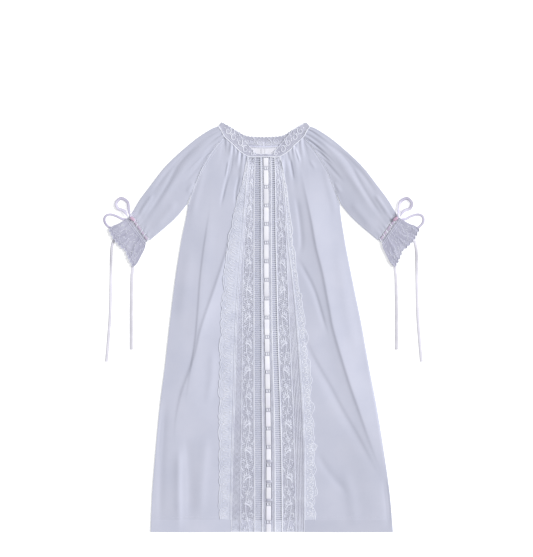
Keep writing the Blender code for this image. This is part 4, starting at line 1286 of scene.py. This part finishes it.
def make_sewing(surfaces, sleeves, thread):
    """Raglan seams, hem stitches, gathering stitches, side seams and the seams of the back."""
    strands = Strands()
    for sign in (-1, 1):
        surface = surfaces[sign]
        for inset, size in ((0.0, (0.42, 0.55)), (0.012, (0.16, 0.2))):
            line = surface(np.linspace(NECK_SHARE, 1.0, 60), inset)
            line[:, 2] += 0.12
            strands.add(line, size, BAND_SECTION)
        stitch_line(strands, surface(np.linspace(0.02, 0.98, 70), 0.992), 0.2)
        stitch_line(strands, surface(0.012, np.linspace(0.0, 0.99, 120)), 0.25, dash=1.3)
        seam = np.linspace(0.02, 0.98, 50)
        top = sleeves[sign](SLEEVE_NECK_SHARE + (1 - SLEEVE_NECK_SHARE) * seam, 0.018)
        strands.add(with_height(top, FRONT_LEVEL + 0.35), (0.16, 0.2), BAND_SECTION)
        y = np.linspace(250.0, -HALF_LENGTH + 1, 80)
        strands.add(points_at(centre_back_x(y) + sign * 1.6, y, 0.02), (0.5, 0.24), BAND_SECTION)
        line = side_path(BACK_RAGLAN_SEAM, sign)(np.linspace(0.03, 0.97, 40))
        strands.add(points_at(line[:, 0] - sign * 1.2, line[:, 1], 0.02), (0.45, 0.24), BAND_SECTION)
        y = np.linspace(170.0, -HALF_LENGTH + 1, 80)
        side = seam_x("side_" + side_name(sign), y) - sign * 1.3
        strands.add(points_at(side, y, 0.02), (0.4, 0.24), BAND_SECTION)
    piece = strands.make("sewing", thread)
    return piece


def make_back_opening(sign, cloth):
    """Narrow folded hem at one side of the opening at the centre back."""
    y = np.linspace(254.5, 195.0, 30)[:, None]
    x = centre_back_x(y) + sign * np.linspace(0.3, 4.2, 6)
    grid = points_at(x, y, BACK_LEVEL + 0.42 + 0.12 * np.sin(y / 3.1))
    piece = add_sheet("back_opening_" + side_name(sign), grid, cloth, shell=0.35, flip=sign < 0)
    return piece


# Materials

def new_material(name, colour, **finish):
    """Principled finish in one colour. Further names are inputs of its shader, with _ for a space."""
    material = bpy.data.materials.new(name)
    material.use_nodes = True
    material.diffuse_color = (*colour, 1.0)
    shader = material.node_tree.nodes["Principled BSDF"]
    shader.inputs["Base Color"].default_value = (*colour, 1.0)
    for label, value in finish.items():
        shader.inputs[label.replace("_", " ")].default_value = value
    return material, shader


def add_node(tree, kind, inputs, **settings):
    """New shader node: an input is linked where a socket is given for it, and set otherwise."""
    node = tree.nodes.new("ShaderNode" + kind)
    for label, value in settings.items():
        setattr(node, label, value)
    for label, value in inputs.items():
        if isinstance(value, bpy.types.NodeSocket):
            tree.links.new(value, node.inputs[label])
        else:
            node.inputs[label].default_value = value
    return node


def cloth_material(name, dark, light, cloud, weave, pale=None, **finish):
    """Cloudy mix of two close colours, made paler or darker by the light and shade painted on each piece,
    with a woven bump.

    Pale is the colour inside the neckline, where one layer lies on white.
    """
    material, shader = new_material(name, light, **finish)
    tree = material.node_tree
    spot = tree.nodes.new("ShaderNodeTexCoord").outputs["Object"]
    noise = add_node(tree, "TexNoise", {"Vector": spot, "Scale": cloud, "Detail": 5.0})
    ramp = add_node(tree, "ValToRGB", {"Fac": noise.outputs["Fac"]})
    for element, position, tone in zip(ramp.color_ramp.elements, (0.35, 0.65), (dark, light)):
        element.position = position
        element.color = (*tone, 1.0)
    colour = ramp.outputs["Color"]
    if pale:
        split = add_node(tree, "SeparateXYZ", {"Vector": spot})
        rise = add_node(tree, "MapRange", {
            "Value": split.outputs["Y"],
            "From Min": (NECKLINE - 1.0) * MM, "From Max": (NECKLINE + 1.5) * MM,
        })
        mix = add_node(tree, "Mix", {
            "Factor": rise.outputs["Result"], "A": colour, "B": (*pale, 1.0),
        }, data_type="RGBA")
        colour = mix.outputs["Result"]
    shade = add_node(tree, "Attribute", {}, attribute_name="shade")
    brightness = add_node(tree, "Math", {0: shade.outputs["Fac"], 1: 1.0}, operation="ADD")
    scaled = add_node(tree, "VectorMath", {
        0: colour, "Scale": brightness.outputs["Value"],
    }, operation="SCALE")
    tree.links.new(scaled.outputs["Vector"], shader.inputs["Base Color"])
    pitch, strength, depth = weave
    waves = [
        add_node(tree, "TexWave", {
            "Vector": spot, "Scale": 2 * math.pi / (20 * pitch * MM), "Distortion": 1.2, "Detail": 1.0,
        }, bands_direction=direction).outputs["Fac"]
        for direction in ("X", "Y")
    ]
    threads = add_node(tree, "Math", {0: waves[0], 1: waves[1]}, operation="ADD")
    bump = add_node(tree, "Bump", {
        "Height": threads.outputs["Value"], "Strength": strength, "Distance": depth * MM,
    })
    tree.links.new(bump.outputs["Normal"], shader.inputs["Normal"])
    return material


def batiste_material(name, pale=None):
    """Sheer plain-woven cotton, soft and matte."""
    return cloth_material(
        name, (0.565, 0.583, 0.700), (0.600, 0.614, 0.728), 22.0, (0.45, 0.25, 0.08), pale,
        Roughness=0.85, Sheen_Weight=0.15, Sheen_Roughness=0.5,
    )


def lace_material(name, dark, light):
    """Cotton lace thread."""
    return cloth_material(name, dark, light, 60.0, (0.35, 0.3, 0.06), Roughness=0.8, Sheen_Weight=0.1)


def satin_material(name, dark, light, roughness):
    """Satin ribbon: smooth, with fine lines across and a soft sheen."""
    return cloth_material(
        name, dark, light, 45.0, (0.30, 0.18, 0.03),
        Roughness=roughness, Sheen_Weight=0.2, Specular_IOR_Level=0.7,
    )


# Stage

def make_stage():
    """Camera straight above, white floor that stays white, a soft sun and even fill."""
    scene = bpy.context.scene
    lens = bpy.data.cameras.new("camera")
    lens.sensor_fit = "HORIZONTAL"
    lens.sensor_width = SENSOR_WIDTH
    lens.lens = SENSOR_WIDTH * CAMERA_HEIGHT / (PHOTO_WIDTH * MM_PER_PIXEL)
    lens.clip_end = CLIP_END
    camera = add_object("camera", lens)
    centre_x = (PHOTO_WIDTH / 2 - ORIGIN_PIXEL[0]) * MM_PER_PIXEL
    centre_y = (ORIGIN_PIXEL[1] - PHOTO_HEIGHT / 2) * MM_PER_PIXEL
    camera.location = (centre_x * MM, centre_y * MM, (CAMERA_HEIGHT + FRONT_LEVEL) * MM)
    scene.camera = camera

    mesh = bpy.data.meshes.new("floor")
    corners = [(x * FLOOR_REACH, y * FLOOR_REACH, 0.0) for x, y in ((-1, -1), (1, -1), (1, 1), (-1, 1))]
    mesh.from_pydata(corners, [], [(0, 1, 2, 3)])
    white, shader = new_material("floor", (0.95, 0.95, 0.95), Roughness=0.9, Emission_Strength=0.35)
    shader.inputs["Emission Color"].default_value = (1.0, 1.0, 1.0, 1.0)
    mesh.materials.append(white)
    floor = add_object("floor", mesh)
    floor.location = (0.0, 0.0, -FLOOR_DROP)

    key = bpy.data.lights.new("key", "SUN")
    key.angle = math.radians(KEY_SPREAD)
    key.energy = KEY_STRENGTH
    add_object("key", key).rotation_euler = (0.0, math.radians(KEY_TILT), math.radians(KEY_HEADING))

    world = bpy.data.worlds.new("studio")
    world.use_nodes = True
    background = world.node_tree.nodes["Background"]
    background.inputs["Color"].default_value = FILL_COLOUR
    background.inputs["Strength"].default_value = FILL_STRENGTH
    scene.world = world
    scene.view_settings.view_transform = "Standard"


def main():
    """Build the gown."""
    make_stage()
    batiste = batiste_material("batiste")
    single = batiste_material("batiste_single", pale=(0.83, 0.83, 0.905))
    # The close net and the cuff net are solid sheets darker than their thread: their own colour with painted
    # shade for the holes, and for the cuff net the shade between the flounce's layers
    net = lace_material("close_net", (0.47, 0.475, 0.58), (0.56, 0.565, 0.67))
    pale_net = lace_material("pale_net", (0.60, 0.62, 0.74), (0.67, 0.69, 0.80))
    cuff_net = lace_material("cuff_net", (0.44, 0.44, 0.56), (0.53, 0.53, 0.65))
    lace = lace_material("lace", (0.665, 0.675, 0.79), (0.745, 0.76, 0.865))
    bright = lace_material("bright_thread", (0.80, 0.815, 0.915), (0.88, 0.895, 0.975))
    soft = lace_material("soft_thread", (0.66, 0.67, 0.77), (0.74, 0.75, 0.84))
    pale = lace_material("pale_thread", (0.68, 0.70, 0.80), (0.78, 0.79, 0.87))
    fine = lace_material("fine_thread", (0.74, 0.755, 0.86), (0.82, 0.835, 0.93))
    ribbon = satin_material("satin", (0.84, 0.835, 0.93), (0.93, 0.93, 0.985), 0.32)
    tail = satin_material("tail_satin", (0.76, 0.74, 0.83), (0.84, 0.82, 0.90), 0.34)
    # The loops' satin is the bow ribbon's satin painted darker, for the shade on loops that stand on edge
    loop_shade_satin = satin_material("loop_satin_painted_shade", (0.56, 0.52, 0.70), (0.72, 0.69, 0.84), 0.4)
    pink = satin_material("pink_satin", (0.58, 0.37, 0.52), (0.72, 0.52, 0.68), 0.4)
    mauve = satin_material("mauve_satin", (0.49, 0.42, 0.57), (0.61, 0.53, 0.67), 0.45)
    for sign in (-1, 1):
        make_bow(sign, tail, loop_shade_satin, pink)
    surfaces = {}
    sleeves = {}
    halves = {}
    for sign in (-1, 1):
        back = make_back(sign, single)
        surfaces[sign], front, hem = make_front(sign, batiste)
        sleeves[sign], sleeve = make_sleeve(sign, batiste)
        frill = make_frill(sign, surfaces[sign], pale_net, lace, bright if sign > 0 else pale)
        front_band = make_neckband("front", sign, net, lace, bright)
        back_band = make_neckband("back", sign, net, lace, soft)
        cuff = [*make_flounce(sign, cuff_net, lace, soft), *make_wrist(sign, mauve, lace, pale)]
        halves[sign] = (back, back_band, front, [hem, *frill, *front_band], sleeve, cuff)
    panels = {
        -1: [
            make_net_strip("net_strip_left", "panel_left", "insertion_left", False, lace, bright),
            make_insertion("insertion_left", "insertion_left", "ladder_left", 1.0, lace, fine),
            # The left ladder takes the paler thread, painted darker than the right ladder's bright thread to
            # even out the key light from the right
            make_ladder("ladder_left", "ladder_left", "beading_left", lace, pale),
            # The beading's darker tone is the close net, for its painted shade
            make_beading(lace, bright, net), make_centre_ribbon(ribbon),
            make_panel_hem(pale_net), make_panel_seams(bright),
        ],
        1: [
            make_ladder("ladder_right", "beading_right", "ladder_right", lace, bright),
            make_insertion("insertion_right", "ladder_right", "insertion_right", -1.0, lace, fine),
            make_net_strip("net_strip_right", "insertion_right", "panel_right", True, lace, fine),
            make_sewing(surfaces, sleeves, bright),
        ],
    }
    for sign, (back, back_band, front, trims, sleeve, cuff) in halves.items():
        opening = make_back_opening(sign, single)


main()
